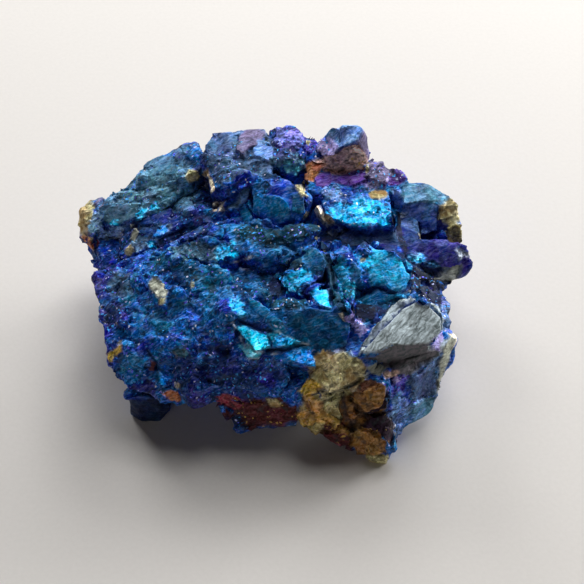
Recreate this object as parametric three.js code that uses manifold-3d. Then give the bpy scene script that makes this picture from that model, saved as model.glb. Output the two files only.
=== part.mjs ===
// A hand specimen of iridescent chalcopyrite (peacock ore): one solid fragment of massive ore.
// Millimetres, +Z up, +X along the specimen's length. It rests on three feet in the plane z = 0,
// and its front, -Y, is the broken side with the brassy corner.
import * as THREE from "three";
import { ConvexGeometry } from "three/addons/geometries/ConvexGeometry.js";
import { MeshSurfaceSampler } from "three/addons/math/MeshSurfaceSampler.js";
import { mergeVertices } from "three/addons/utils/BufferGeometryUtils.js";
import Module from "manifold-3d";

const wasm = await Module();
wasm.setup();

// The trunk: convex, from its plan outlines at five heights.
const TRUNK_RINGS = [
  { z: 1, plan: [[-9, -4], [-2, -7], [7, -10], [10, -6], [9, 5], [3, 9], [-6, 7]] },
  { z: 4.5, plan: [[-13, -9], [0, -11], [11, -11], [15, -4], [14, 8], [0, 13], [-13, 10], [-16, 0]] },
  {
    z: 9,
    plan: [
      [-19, -2], [-17, -11], [-8, -12.5], [10, -12], [16, -9], [18, -4], [18, 4], [15, 11], [4, 17],
      [-8, 16], [-17, 12],
    ],
  },
  {
    z: 12.5,
    plan: [
      [-18, 8], [-13, 13], [-17, -5], [-14, -10], [-8, -11], [6, -10], [13, -8], [16, -4], [17, 8],
      [12, 12], [2, 16], [-8, 15],
    ],
  },
  { z: 14, plan: [[-6, 13], [4, 15], [10, 11], [10, 1], [2, -5], [-9, -6], [-12, 6]] },
];

// Blocks: the larger broken crystals and ledges, each convex. corners are on its outer face, and
// into is the way from there into the specimen.
const BLOCKS = {
  // the western ridges
  front_west_ridge: {
    into: [0, 0, -6],
    corners: [
      [-21, 7.5, 13], [-20, 9, 14], [-17, 10.5, 15], [-13, 11.5, 15.5], [-10.5, 11.5, 16],
      [-13, 8.5, 14.5], [-16, 7.5, 14], [-18, 6.5, 12.5],
    ],
  },
  back_west_ridge: {
    into: [0, 0, -8],
    corners: [
      [-19.5, 11, 13.5], [-16.5, 13.5, 15], [-15.5, 15, 15.5], [-12.5, 16, 16.5], [-9.5, 16, 17],
      [-8.5, 13, 17.5], [-10, 11, 16.5], [-13.5, 10.5, 15.5], [-17.5, 10.5, 14.5],
    ],
  },
  ridge_step: {
    into: [0, 0, -3],
    corners: [
      [-16, 12, 15.5], [-14, 14.5, 16], [-11.5, 14.5, 17], [-10.5, 13, 16.5], [-13, 11, 16],
      [-15, 10.5, 15],
    ],
  },
  lens_ridge: {
    into: [0, 0, -5],
    corners: [
      [-18.5, 5, 12.5], [-16.5, 5.5, 14], [-13, 5, 15], [-12, 3.5, 15], [-14, 3, 13.5], [-17, 3, 12],
    ],
  },
  long_ridge: {
    into: [0, 0, -5],
    corners: [
      [-13.5, 0.5, 13.5], [-12.5, 1.5, 15], [-9, 1.5, 16.5], [-5.5, 1.5, 16.5], [-4, 0, 16],
      [-4.5, -0.5, 15], [-8.5, -1, 14],
    ],
  },
  shelf_west: {
    into: [1, 1, -5],
    corners: [
      [-21.5, 1, 11.5], [-18.5, 1, 12.5], [-15.5, -1.5, 13.5], [-15.5, -5.5, 13], [-17.5, -7.5, 12],
      [-20, -6, 11.5],
    ],
  },
  shelf_back: {
    into: [0, 1, -5],
    corners: [
      [-16.5, 0.5, 13], [-12.5, 0.5, 14.5], [-8, -1.5, 15.5], [-5, -3, 16], [-6, -5, 14.5],
      [-10, -5.5, 13.5], [-15, -4, 13],
    ],
  },
  shelf_middle: {
    into: [0, 1, -5],
    corners: [
      [-15, -4, 13.5], [-11.5, -4.5, 14.5], [-8.5, -6, 14.5], [-9, -9.5, 13], [-13, -10.5, 12],
      [-15.5, -8, 12.5],
    ],
  },
  shelf_east: {
    into: [0, 1, -5],
    corners: [
      [-8.5, -5, 14.5], [-5, -4.5, 15.5], [-4, -8, 15.5], [-4.5, -11.5, 13.5], [-7.5, -11.5, 12.5],
      [-9.5, -9, 13.5],
    ],
  },
  shelf_front: {
    into: [0, 2, -4],
    corners: [
      [-19.5, -7, 11.5], [-15.5, -8, 12.5], [-13, -10, 12.5], [-9.5, -10.5, 13], [-8.5, -12, 11.5],
      [-14, -12.5, 10.5], [-18.5, -11, 10],
    ],
  },
  brass_flake: {
    into: [0, 0, -2],
    corners: [
      [-14.5, -3, 14.5], [-13.5, -2.5, 15], [-12, -5, 15], [-12, -7, 14.5], [-13.5, -6, 14],
      [-14, -4.5, 14],
    ],
  },
  west_knob: {
    into: [1, 0, -5],
    corners: [
      [-23.5, 8, 11.5], [-23.5, 9.5, 12.5], [-22.5, 11, 13], [-21, 11.5, 13], [-20, 9, 13.5],
      [-21, 7, 13], [-22, 5, 11.5], [-23, 6.5, 11],
    ],
  },
  // the middle and the back
  valley_floor: {
    into: [0, 0, -4],
    corners: [
      [-14.5, 1.5, 12.5], [-13.5, 5, 13], [-9, 7.5, 14.5], [-3, 8.5, 15.5], [3, 9.5, 15.5], [3, 2.5, 15],
      [-4, 0, 14],
    ],
  },
  middle_block: {
    into: [0, 0, -5],
    corners: [
      [-6, 4, 16], [-1.5, 4, 16.5], [3, 3, 16.5], [5, 2, 16], [3, -1, 15.5], [-2, -1, 15.5],
      [-4.5, 0, 16],
    ],
  },
  back_mass: {
    into: [0, 0, -9],
    corners: [
      [-8.5, 15, 17.5], [-7.5, 16.5, 18], [-5, 17.5, 18], [-1.5, 17.5, 18.5], [0, 14, 18.5],
      [-0.5, 10, 18.5], [-4, 8, 18], [-7.5, 9, 17],
    ],
  },
  pale_patch: {
    into: [0, 0, -3],
    corners: [
      [-3, 13.5, 18.5], [-1.5, 14.5, 19], [0, 13.5, 19], [0, 12, 19], [-1, 10.5, 18.5], [-2.5, 11, 18.5],
    ],
  },
  back_step: {
    into: [0, 0, -3],
    corners: [
      [-8, 12, 17.5], [-7.5, 13.5, 18.5], [-5, 13.5, 18.5], [-4, 10.5, 18], [-6, 9, 17], [-7.5, 9.5, 17],
    ],
  },
  violet_lump: {
    into: [0, 0, -8],
    corners: [
      [-0.5, 17, 18.5], [1, 17, 19.5], [2.5, 17, 19.5], [3.5, 15.5, 18.5], [3.5, 12, 18],
      [0.5, 11.5, 18.5], [-0.5, 14, 18.5],
    ],
  },
  blue_thumb: {
    into: [0, 1, -5],
    corners: [
      [-2.5, 8.5, 18], [0, 10, 18.5], [3, 8, 18.5], [3.5, 5, 17.5], [2, 4, 15.5], [-1, 5, 15.5],
      [-2.5, 6.5, 17],
    ],
  },
  horn: {
    into: [0, 0.5, -6],
    corners: [
      [5, 14, 19], [7, 14, 21.5], [8, 14.5, 22], [9.5, 14.5, 22], [10.5, 14, 21.5], [11, 14, 20.5],
      [11, 14, 18.5], [9.5, 12.5, 21], [7, 12, 20.5], [6, 17, 17.5], [9.5, 17, 18.5],
    ],
  },
  horn_root: {
    into: [0, 0, -8],
    corners: [[3.5, 17, 17], [5.5, 15.5, 18], [11, 15, 17.5], [11, 13.5, 16.5], [4, 11.5, 17]],
  },
  rust_shelf: {
    into: [0, 0, -6],
    corners: [
      [3.5, 11.5, 17], [11.5, 13.5, 16.5], [14.5, 13, 15.5], [16, 12, 15], [14.5, 10, 15],
      [7.5, 8.5, 16.5], [4, 8, 17],
    ],
  },
  // the stepped eastern half
  cyan_ledge: {
    into: [0, 1, -4.5],
    corners: [
      [5.5, 7.5, 16.5], [7, 8.5, 17], [10, 8.5, 16.5], [13.5, 9.5, 15.5], [14, 5, 15], [11, 4, 15],
      [8, 5, 15.5], [6, 5, 16.5],
    ],
  },
  east_block: {
    into: [0, 0, -7],
    corners: [
      [14, 10.5, 15], [16, 12, 15], [18.5, 12, 14.5], [21, 10.5, 14], [22, 9.5, 13.5], [20, 9.5, 13],
      [15.5, 8.5, 14],
    ],
  },
  east_end: {
    into: [-2, 0, -4],
    corners: [
      [20, 9.5, 13.5], [21, 10.5, 14], [22, 9, 13], [22, 7.5, 12], [22.5, 6, 10.5], [20.5, 6.5, 10.5],
      [19.5, 8, 12],
    ],
  },
  east_lobe: {
    into: [-2, 0.5, -3.5],
    corners: [
      [15, 4.5, 12.5], [17, 4.5, 13], [20, 5, 12.5], [22.5, 4, 12], [23.5, 3, 10.5], [19.5, 2.5, 11],
      [16, 2, 12], [15, 3, 12],
    ],
  },
  big_facet: {
    into: [0, 0, -5],
    corners: [
      [8.5, -1, 16], [10.5, 0.5, 16], [14, 0.5, 15.5], [15.5, -1.5, 14], [15, -3, 13], [11.5, -4, 14],
      [9, -4, 15],
    ],
  },
  mid_facet: {
    into: [0, 0, -5],
    corners: [[6, -1, 16.5], [8, 1, 16], [9, -1.5, 16], [9, -6, 14.5], [7.5, -6.5, 14.5], [6, -4.5, 15.5]],
  },
  dark_facet: {
    into: [0, 0, -5],
    corners: [
      [2, -2, 16.5], [4.5, -0.5, 17], [6, -1, 16.5], [5.5, -3.5, 16], [4, -5, 15], [2.5, -5, 15],
      [1, -4, 16],
    ],
  },
  spark_facet: {
    into: [0, 0, -4],
    corners: [[4, -6.5, 15], [5, -5.5, 16], [6.5, -5, 15.5], [6.5, -7, 14], [5, -7, 14.5]],
  },
  smooth_face: {
    into: [0, 1, -6],
    corners: [
      [0, -7, 16], [4, -7, 15], [8, -6.5, 14.5], [8.5, -10, 13.5], [7.5, -12, 12], [4, -13, 11.5],
      [3, -11.5, 13], [-0.5, -9.5, 15],
    ],
  },
  bright_strip: {
    into: [0, 1, -5],
    corners: [
      [-4.5, -7, 16], [-3.5, -6, 16.5], [0, -9, 15], [4, -11.5, 13], [3, -12, 12.5], [-1.5, -12, 12],
      [-4, -10, 14],
    ],
  },
  strip_lip: {
    into: [0, 1, -3],
    corners: [[-1.5, -12, 12], [0, -11.5, 13], [3, -11.5, 12.5], [4.5, -13, 11], [3, -12.5, 11]],
  },
  grey_block: {
    into: [0, 2, -4],
    corners: [
      [9.5, -13, 13], [11.5, -11, 14], [14.5, -8, 15.5], [16.5, -7, 16], [18.5, -9, 15],
      [18.5, -10.5, 14.5], [17.5, -11.5, 13.5], [13.5, -12, 13.5],
    ],
  },
  east_wall: {
    into: [-5, 0, -3],
    corners: [[15.5, -1.5, 12], [19.5, 0.5, 9.5], [20, -4, 10], [20, -6.5, 9.5], [17, -4.5, 12.5]],
  },
  south_wall: {
    into: [-4, 5, 1],
    corners: [
      [13.5, -13, 10], [19, -9.5, 10.5], [20.5, -7.5, 10], [21, -7, 9], [21, -9, 6.5], [19, -11, 4.5],
      [18.5, -12.5, 2], [15, -13.5, 0], [14, -16, 0], [13, -18.5, 0],
    ],
  },
  // the brassy corner
  cliff_core: {
    into: [0, 6, 3],
    corners: [
      [6, -13.5, 11], [13, -13.5, 10], [3, -15, 8.5], [3, -15.5, 6.5], [13, -15.5, 7], [5, -15.5, 3.5],
      [8.5, -16.5, 1], [11, -17.5, 0], [13.5, -17, 0], [13.5, -17, 3],
    ],
  },
  gold_cap: {
    into: [0, 5, -1],
    corners: [
      [5.5, -13.5, 11], [7, -12.5, 12.5], [10, -12.5, 12], [10.5, -13.5, 10.5], [8.5, -15, 9.5],
      [5.5, -15, 9],
    ],
  },
  gold_knob: {
    into: [0, 4, 0],
    corners: [
      [2.5, -15.5, 9], [4.5, -15, 9], [6, -15.5, 8.5], [6.5, -16.5, 6.5], [5, -17, 5], [3, -16, 5.5],
    ],
  },
  ochre_block: {
    into: [0, 4, 0],
    corners: [
      [8.5, -15, 10], [11, -14, 10.5], [13, -14.5, 10], [13, -16.5, 8], [11, -17, 7.5], [9, -16.5, 8],
    ],
  },
  toe: {
    into: [0, 4, 0],
    corners: [
      [8.5, -16.5, 4], [11, -16.5, 5], [13, -17.5, 4.5], [13.5, -18, 1.5], [13, -18.5, 0],
      [11.5, -18.5, 0], [10, -16.5, 0], [13.5, -15, 0],
    ],
  },
  // the overhanging front and the hidden sides
  curtain_west: {
    into: [1, 6, 0],
    corners: [
      [-19, -9.5, 11], [-16, -10.5, 11.5], [-14.5, -10.5, 11], [-15.5, -13.5, 7.5], [-18, -12, 8],
      [-19, -10.5, 9],
    ],
  },
  curtain_corner: {
    into: [1, 6, 0],
    corners: [
      [-16.5, -11, 10], [-13, -11.5, 10.5], [-11, -14, 7], [-12.5, -14.5, 7.5], [-16.5, -13.5, 7.5],
    ],
  },
  curtain_middle: {
    into: [0, 6, 0],
    corners: [
      [-14, -11, 11], [-9.5, -11, 12], [-7.5, -12, 10.5], [-8, -14.5, 8], [-9, -14.5, 7],
      [-12.5, -14, 7], [-14, -12, 9],
    ],
  },
  curtain_east: {
    into: [0, 6, 0],
    corners: [
      [-8, -11.5, 12], [-2.5, -12, 11.5], [1, -12.5, 11.5], [2, -14, 10], [0.5, -15, 8.5],
      [-4, -15, 7.5], [-7, -14, 8],
    ],
  },
  curtain_root: {
    into: [0, 6, 0],
    corners: [
      [-9, -13.5, 8.5], [-3, -14.5, 8.5], [3.5, -14, 9], [3, -14.5, 7.5], [-4, -14.5, 6.5],
      [-8.5, -14, 6.5],
    ],
  },
  maroon_rim: {
    into: [0, 5, 1],
    corners: [
      [-6, -14.5, 6], [-2.5, -14.5, 7], [3, -14.5, 8], [2.5, -15.5, 3.5], [-2, -15.5, 3],
      [-4, -15.5, 2.5], [-5.5, -14.5, 4.5],
    ],
  },
  west_foot: {
    into: [0, 5, 0],
    corners: [
      [-16.5, -13, 6], [-12.5, -13.5, 6], [-17, -11.5, 0], [-15.5, -12.5, 0], [-13.5, -12.5, 0],
      [-12.5, -11, 0],
    ],
  },
  back_foot: {
    into: [0, -6, 3],
    corners: [
      [-6, 12, 0], [-3, 14, 0], [1, 12.5, 0], [0, 8, 0], [-4, 8, 0], [-8, 13, 5], [-3, 16, 5.5],
      [3, 14, 5],
    ],
  },
  back_heel: {
    into: [-3, -4, 3],
    corners: [[4, 10, 2.5], [9, 10.5, 1.5], [12, 6, 2], [11, 12, 4.5], [6, 14.5, 5], [13.5, 7, 5]],
  },
  west_heel: {
    into: [4, -2, 3],
    corners: [[-9, 7, 1.5], [-12, 2, 2.5], [-14.5, 5, 5], [-13, 10, 5], [-9, 11, 3]],
  },
  back_bulge: {
    into: [0, -8, 0],
    corners: [
      [-10, 16, 8], [-5, 18.5, 10], [0, 18.5, 12.5], [2, 17.5, 8], [-3, 17.5, 15], [-9, 16, 13.5],
      [-4, 16.5, 5],
    ],
  },
  back_ledge: {
    into: [0, -7, 2],
    corners: [
      [1, 17, 6.5], [6, 18, 8], [11, 16, 7], [13, 14.5, 9.5], [8, 17, 13], [3, 18, 12], [6, 15, 4.5],
    ],
  },
  back_slab: {
    into: [-2, -6, 0],
    corners: [[2.5, 17, 15], [7, 17, 15.5], [11, 15, 16], [13, 15, 13], [8, 17.5, 12.5], [3, 18, 12]],
  },
  back_east: {
    into: [-6, -5, 1],
    corners: [[12, 14.5, 7], [16, 12.5, 5.5], [19, 8, 7], [19.5, 9, 10], [16.5, 13, 12], [13, 14.5, 12]],
  },
  east_flank: {
    into: [-6, 0, 1],
    corners: [[17, 7, 4], [19.5, 2, 6], [20.5, 4.5, 9], [19.5, 7, 9.5], [16, -1, 3], [14, 5, 2.5]],
  },
  back_west: {
    into: [6, -5, 1],
    corners: [
      [-11, 15.5, 6.5], [-16, 13, 6], [-19, 9, 8], [-20, 10, 11.5], [-15.5, 14.5, 13], [-11, 16, 12],
    ],
  },
  west_flank: {
    into: [6, 0, 1],
    corners: [
      [-18, 6, 5], [-20, 1, 6.5], [-20.5, 3, 10.5], [-21.5, 7.5, 10.5], [-18, -4, 5], [-14, 4, 3.5],
    ],
  },
  west_wall: {
    into: [5, 0, 0],
    corners: [[-20, -1, 10.5], [-20, -5, 8.5], [-19, -9.5, 10], [-18, -6, 5.5], [-19, -1, 6]],
  },
};
const NARROWING = 0.2; // how much a block's inner end is drawn in towards its middle

// Gullies: open cracks of V section along a line on the surface, each with the width and the depth
// of its section.
const GULLIES = {
  west_valley: { width: 2.4, depth: 2, line: [[-20, 1.5, 13], [-13, 3.8, 14], [-9, 6, 15], [-4, 7, 16]] },
  east_valley: { width: 2.6, depth: 2.4, line: [[5.5, 2, 16.5], [15.5, 2.5, 15]] },
  slanting_crack: { width: 0.9, depth: 2.6, line: [[6, 1, 17], [8.8, -8, 15]] },
  lobe_gap: { width: 1.1, depth: 2.4, line: [[14.5, 10, 16], [14.8, 2.5, 15], [15.4, -1.5, 14.3]] },
  lens_crack: { width: 0.9, depth: 1.8, line: [[-17.5, 2, 13], [-11.5, 2.6, 15.5]] },
};
const GULLY_RISE = 2; // how far a gully's cutter stands above its line

// Smaller broken crystals over the surface, fused to it or plucked from it: how many, how long, how
// far their rims lie below the surface (a share of the length), and how far they lean, in degrees.
const LUMPS = { count: 95, length: [4.2, 8], sunk: 0.04, lean: 9, seed: 25 };
const PITS = { count: 10, length: [2.6, 5], sunk: -0.05, lean: 20, seed: 17 };
const GRAINS = { count: 36, length: [2, 3.6], sunk: 0.03, lean: 20, seed: 29 };
const BANDING = 24; // the way the crystals' length runs over the top, in degrees from +X
const STRAYING = 50; // how far that length strays from it, in degrees
const APART = 0.65; // the least distance between two neighbours of a kind, as a share of the length
const LOWEST = 0.4; // how high above the feet's plane a crystal sits at least, as a share of its length
const STEEPEST = -0.5; // the least upward part of the surface's normal where crystals sit

// The shape of one, as shares of its length: a rim of five points, a smaller and higher crown of
// three, and a root below.
const CRYSTAL_RINGS = [
  { points: 5, radius: 0.5, height: 0 },
  { points: 3, radius: 0.24, height: 0.17 },
];
const CRYSTAL_WIDTH = 0.7;
const CRYSTAL_ROOT = -0.35;
const CRYSTAL_UNEVEN = { angle: 0.7, radius: 0.3, height: 0.5 }; // how much its points vary, of their steps

// Cleaved faces that stay clear of the smaller crystals.
const CALM_BLOCKS = [
  "smooth_face", "grey_block", "big_facet", "spark_facet", "cyan_ledge", "horn", "east_lobe", "west_knob",
];
const CALM_SHARE = 0.75; // of the distance from such a face's middle to its furthest corner

// A repeatable stream of numbers from 0 to 1.
function randomStream(seed) {
  let state = seed;
  return () => {
    state = (state + 0x6d2b79f5) | 0;
    let t = Math.imul(state ^ (state >>> 15), 1 | state);
    t = (t + Math.imul(t ^ (t >>> 7), 61 | t)) ^ t;
    return ((t ^ (t >>> 14)) >>> 0) / 4294967296;
  };
}

// A three.js geometry as a manifold-3d solid.
function solidOf(geometry) {
  const bare = geometry.clone();
  bare.deleteAttribute("normal");
  bare.deleteAttribute("uv");
  const merged = mergeVertices(bare, 1e-4);
  return new wasm.Manifold(
    new wasm.Mesh({
      numProp: 3,
      vertProperties: merged.getAttribute("position").array,
      triVerts: new Uint32Array(merged.index.array),
    }),
  );
}

// A manifold-3d solid as a three.js geometry.
function geometryOf(solid) {
  const mesh = solid.getMesh();
  return new THREE.BufferGeometry()
    .setAttribute("position", new THREE.BufferAttribute(mesh.vertProperties, mesh.numProp))
    .setIndex(new THREE.BufferAttribute(mesh.triVerts, 1));
}

const hull = (points) => solidOf(new ConvexGeometry(points));
const vectorsOf = (places) => places.map((place) => new THREE.Vector3(...place));
const middleOf = (points) => {
  const sum = points.reduce((total, point) => total.add(point), new THREE.Vector3());
  return sum.divideScalar(points.length);
};

function trunk() {
  return hull(TRUNK_RINGS.flatMap(({ z, plan }) => vectorsOf(plan.map(([x, y]) => [x, y, z]))));
}

// A block: the hull of its outer corners and of the same corners carried into the specimen.
function block({ corners, into }) {
  const outer = vectorsOf(corners);
  const inner = outer.map((corner) => corner.clone().add(new THREE.Vector3(...into)));
  const middle = middleOf(inner);
  inner.forEach((corner) => corner.lerp(middle, NARROWING));
  return hull([...outer, ...inner]);
}

// The cutter of one stretch of a gully: a prism, open side up.
function gullyCutter(from, to, width, depth) {
  const side = new THREE.Vector3(from.y - to.y, to.x - from.x, 0).setLength(width / 2);
  const lift = new THREE.Vector3(0, 0, GULLY_RISE);
  const spread = 1 + GULLY_RISE / depth;
  const points = [from, to].flatMap((end) => [
    end.clone().addScaledVector(side, spread).add(lift),
    end.clone().addScaledVector(side, -spread).add(lift),
    end.clone().setZ(end.z - depth),
  ]);
  return hull(points);
}

function gullyCutters() {
  return Object.values(GULLIES).flatMap(({ line, width, depth }) => {
    const points = vectorsOf(line);
    return points.slice(1).map((end, i) => gullyCutter(points[i], end, width, depth));
  });
}

// A broken crystal of the given length, lying along +X with its rim about z = 0.
function brokenCrystal(length, random) {
  const points = [new THREE.Vector3(0, 0, CRYSTAL_ROOT * length)];
  for (const ring of CRYSTAL_RINGS) {
    for (let i = 0; i < ring.points; i++) {
      const angle = ((i + CRYSTAL_UNEVEN.angle * random()) / ring.points) * 2 * Math.PI;
      const radius = ring.radius * length * (1 - CRYSTAL_UNEVEN.radius * random());
      const height = ring.height * length * (1 + CRYSTAL_UNEVEN.height * (2 * random() - 1));
      const across = CRYSTAL_WIDTH * radius * Math.sin(angle);
      points.push(new THREE.Vector3(radius * Math.cos(angle), across, height));
    }
  }
  return new ConvexGeometry(points);
}

const calmSpots = CALM_BLOCKS.map((name) => {
  const points = vectorsOf(BLOCKS[name].corners);
  const middle = middleOf(points);
  return { middle, reach: CALM_SHARE * Math.max(...points.map((point) => point.distanceTo(middle))) };
});
const isCalm = (point) => calmSpots.some(({ middle, reach }) => point.distanceTo(middle) < reach);

// Broken crystals seated at random over the solid's surface, each lying nearly flat on it.
function crystalsOn(solid, { count, length, sunk, lean, seed }) {
  const random = randomStream(seed);
  const within = (most) => THREE.MathUtils.degToRad(most * (2 * random() - 1));
  const surface = new THREE.Mesh(geometryOf(solid));
  const sampler = new MeshSurfaceSampler(surface).setRandomGenerator(random).build();
  const up = new THREE.Vector3(0, 0, 1);
  const banding = THREE.MathUtils.degToRad(BANDING);
  const seats = [];
  const crystals = [];
  while (crystals.length < count) {
    const at = new THREE.Vector3();
    const normal = new THREE.Vector3();
    sampler.sample(at, normal);
    const size = THREE.MathUtils.lerp(...length, random() ** 2);
    const crystal = brokenCrystal(size, random);
    const turn = new THREE.Euler(within(lean), within(lean), banding + within(STRAYING));
    const crowded = seats.some((seat) => seat.distanceTo(at) < APART * size);
    if (crowded || isCalm(at) || normal.z < STEEPEST || at.z < LOWEST * size) continue;
    seats.push(at.clone());
    crystal.applyQuaternion(new THREE.Quaternion().setFromEuler(turn));
    crystal.applyQuaternion(new THREE.Quaternion().setFromUnitVectors(up, normal));
    at.addScaledVector(normal, -sunk * size);
    crystals.push(solidOf(crystal.translate(at.x, at.y, at.z)));
  }
  return crystals;
}

// Everything below the plane that the specimen rests on.
const ground = () => solidOf(new THREE.BoxGeometry(100, 100, 20).translate(0, 0, -10));

const joined = (solid, pieces) => pieces.reduce((sum, piece) => sum.add(piece), solid);
const cut = (solid, cutters) => cutters.reduce((rest, cutter) => rest.subtract(cutter), solid);

function specimen() {
  let solid = joined(trunk(), Object.values(BLOCKS).map(block));
  solid = joined(solid, crystalsOn(solid, LUMPS));
  solid = cut(solid, crystalsOn(solid, PITS));
  solid = cut(solid, gullyCutters());
  solid = joined(solid, crystalsOn(solid, GRAINS));
  return cut(solid, [ground()]);
}

// The origin is under the middle of the specimen's bounds, in the plane that it rests on.
const geometry = geometryOf(specimen());
geometry.computeBoundingBox();
const middle = geometry.boundingBox.getCenter(new THREE.Vector3());
geometry.translate(-middle.x, -middle.y, 0);

const ore = new THREE.MeshStandardMaterial({ color: 0x15476f, metalness: 0.85, roughness: 0.35 });
const chalcopyrite = new THREE.Mesh(geometry, ore);
chalcopyrite.name = "chalcopyrite_specimen";

const part = new THREE.Group();
part.add(chalcopyrite);

export default part;
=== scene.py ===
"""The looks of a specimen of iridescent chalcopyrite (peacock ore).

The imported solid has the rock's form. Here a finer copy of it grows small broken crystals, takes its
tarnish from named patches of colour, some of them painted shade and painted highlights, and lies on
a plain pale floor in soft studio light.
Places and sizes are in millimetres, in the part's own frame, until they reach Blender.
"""

import math

import bmesh
import bpy
import numpy as np
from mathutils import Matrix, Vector, bvhtree, kdtree


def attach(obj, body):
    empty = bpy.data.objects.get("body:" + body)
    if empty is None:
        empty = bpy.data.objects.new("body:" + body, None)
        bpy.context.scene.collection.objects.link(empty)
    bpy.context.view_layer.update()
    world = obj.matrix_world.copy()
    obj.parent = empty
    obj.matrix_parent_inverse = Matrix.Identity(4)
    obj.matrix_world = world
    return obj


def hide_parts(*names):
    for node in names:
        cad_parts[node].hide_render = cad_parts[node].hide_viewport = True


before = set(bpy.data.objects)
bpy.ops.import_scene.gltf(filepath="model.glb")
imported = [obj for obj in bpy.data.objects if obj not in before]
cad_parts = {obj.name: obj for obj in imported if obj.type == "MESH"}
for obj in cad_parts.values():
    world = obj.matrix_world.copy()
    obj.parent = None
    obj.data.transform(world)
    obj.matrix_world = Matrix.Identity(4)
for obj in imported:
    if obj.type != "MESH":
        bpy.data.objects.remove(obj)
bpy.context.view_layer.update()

MM = 0.001
NODE = "chalcopyrite_specimen"

# ---------------------------------------------------------------------------- camera

IMAGE_SIZE = 584  # pixels a side
PIXEL = 0.118  # mm that one pixel spans at the target
TARGET = (2.0, -0.4, 9.0)
DISTANCE = 180.0
ELEVATION = math.radians(50)

# ---------------------------------------------------------------------------- relief

FINENESS = 0.2  # the edge of the fine mesh's faces
MOST_TRIANGLES = 195000  # the fine mesh is thinned to this where it is flat
SHARP = math.radians(28)  # the angle from which an edge of the fine mesh looks sharp
SEEN_DEPTH = 0.6  # how far behind the solid's face a point still counts as seen
BANDING = math.radians(24)  # the way that the crystals' length runs over the top, from +X
BANDING_DIP = 0.25
GREY_BANDING = math.radians(50)  # the same for the streaks of the grey rock
NEIGHBOURS = 5  # how many crystals can reach a point
SIDES = 5

# Generations of small crystals, coarse to fine: the distance between their middles, how much they
# rise and sink, how much their tops lean, how steep their walls are, and the stream's seed.
CRYSTALS = {
    "coarse": {"spacing": 2.6, "rise": 0.11, "lean": 0.09, "wall": 1.0, "seed": 5},
    "middle": {"spacing": 1.3, "rise": 0.06, "lean": 0.13, "wall": 1.0, "seed": 6},
    "fine": {"spacing": 0.7, "rise": 0.03, "lean": 0.14, "wall": 1.0, "seed": 7},
}
CRYSTAL_WIDTH = 0.8  # across the banding, as a share of the length
UNEVEN_SIDES = 0.7  # how far a crystal's sides turn from even, as a share of the angle between two
CRYSTAL_REACH = (0.35, 0.8)  # how far its walls start from its middle, as shares of the spacing
DEEPEST = 1.2  # the floor between crystals, as a share of their rise

RIDGES = ((-13.0, 10.5, 15.0), 9.0)  # where the crystals are long and narrow: the middle, the radius
RIDGE_WIDTH = 0.4  # a crystal's width there, as a share of its length
RIDGE_EDGE = 0.7  # where the ridges start to fade, as a share of the radius
CALM_RELIEF = 0.2  # what is left of the relief on satin faces
# Small pulls on the fine mesh, where the solid's few facets miss the rock's outline: the middle and
# radius of what moves, and how far its middle goes.
PULLS = {
    "west_wall": ((-21.2, -6.0, 7.6), 5.0, (1.2, 0.3, 0.0)),
    "west_foot": ((-17.2, -12.8, 6.6), 2.6, (-0.3, 0.1, -0.6)),
    "west_notch": ((-21.5, 3.0, 9.0), 2.2, (-0.7, 0.0, 0.0)),
    "north_west": ((-17.0, 12.6, 14.8), 4.0, (0.2, -0.2, -0.2)),
    "crest": ((-10.0, 15.2, 17.0), 3.5, (0.0, 0.3, 0.8)),
    "back_crest": ((-7.0, 15.9, 18.0), 2.5, (-0.1, 0.2, 0.5)),
    "horn_shoulder": ((6.0, 13.5, 20.5), 2.5, (0.8, 0.0, -0.6)),
    "purple_crest": ((12.5, 12.6, 16.0), 2.5, (0.0, 0.2, 0.5)),
    "lobe_corner": ((21.0, 2.4, 10.0), 3.2, (0.9, -0.9, -0.9)),
    "east_wall": ((20.0, -3.0, 9.5), 2.5, (0.5, 0.0, 0.2)),
    "south_wall": ((15.6, -15.8, 1.8), 5.0, (-1.3, 0.9, 0.0)),
    "rim": ((-9.0, -15.0, 6.8), 3.0, (0.0, -0.3, -0.8)),
    "knuckle": ((5.8, 6.7, 14.0), 2.2, (-0.4, -0.8, 2.7)),
    "horn_west": ((6.6, 13.2, 20.8), 2.0, (0.5, 0.1, -0.3)),
    "back_west": ((-7.3, 15.2, 18.0), 2.0, (0.4, 0.0, -0.4)),
    "wall_east": ((18.8, -11.5, 5.6), 5.0, (-0.9, 0.6, 0.0)),
    "strip_foot": ((-2.6, -12.0, 12.2), 1.8, (0.0, -0.8, 0.4)),
    "lobe_notch": ((22.0, 3.6, 12.0), 1.8, (0.2, 0.1, 0.5)),
    "cliff_foot": ((5.0, -17.0, 4.8), 4.0, (-0.1, -0.5, -0.5)),
}
PUFF = 0.1  # how far the whole surface swells, to make up for corners that the fine mesh rounds

# ---------------------------------------------------------------------------- colours (sRGB)

# MIDNIGHT is painted shade in gaps, hollows and under overhangs.
MIDNIGHT = (16, 30, 62)
NAVY = (26, 46, 98)
INDIGO = (48, 50, 128)
ULTRAMARINE = (24, 70, 160)
AZURE = (18, 94, 172)
BRIGHT_AZURE = (48, 132, 212)
DEEP_TEAL = (20, 74, 116)
TEAL = (22, 100, 150)
DEEP_CYAN = (14, 132, 180)
CYAN = (16, 150, 204)
BRIGHT_CYAN = (22, 186, 240)
LAKE = (32, 112, 176)
PALE_AZURE = (92, 180, 242)
DARK_TEAL = (12, 54, 76)
STEEL = (84, 130, 160)
DUSK_TEAL = (62, 104, 132)
DEEP_SLATE = (46, 66, 102)
DUSK_BLUE = (62, 72, 148)
PERIWINKLE = (98, 136, 192)
DUSK_NAVY = (34, 61, 122)
SLATE_BLUE = (72, 100, 140)
PALE_STEEL = (128, 168, 210)
VIOLET = (96, 84, 190)
PURPLE = (76, 54, 128)
MAUVE = (104, 98, 132)
LILAC = (158, 150, 206)
MAROON = (70, 34, 38)
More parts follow.
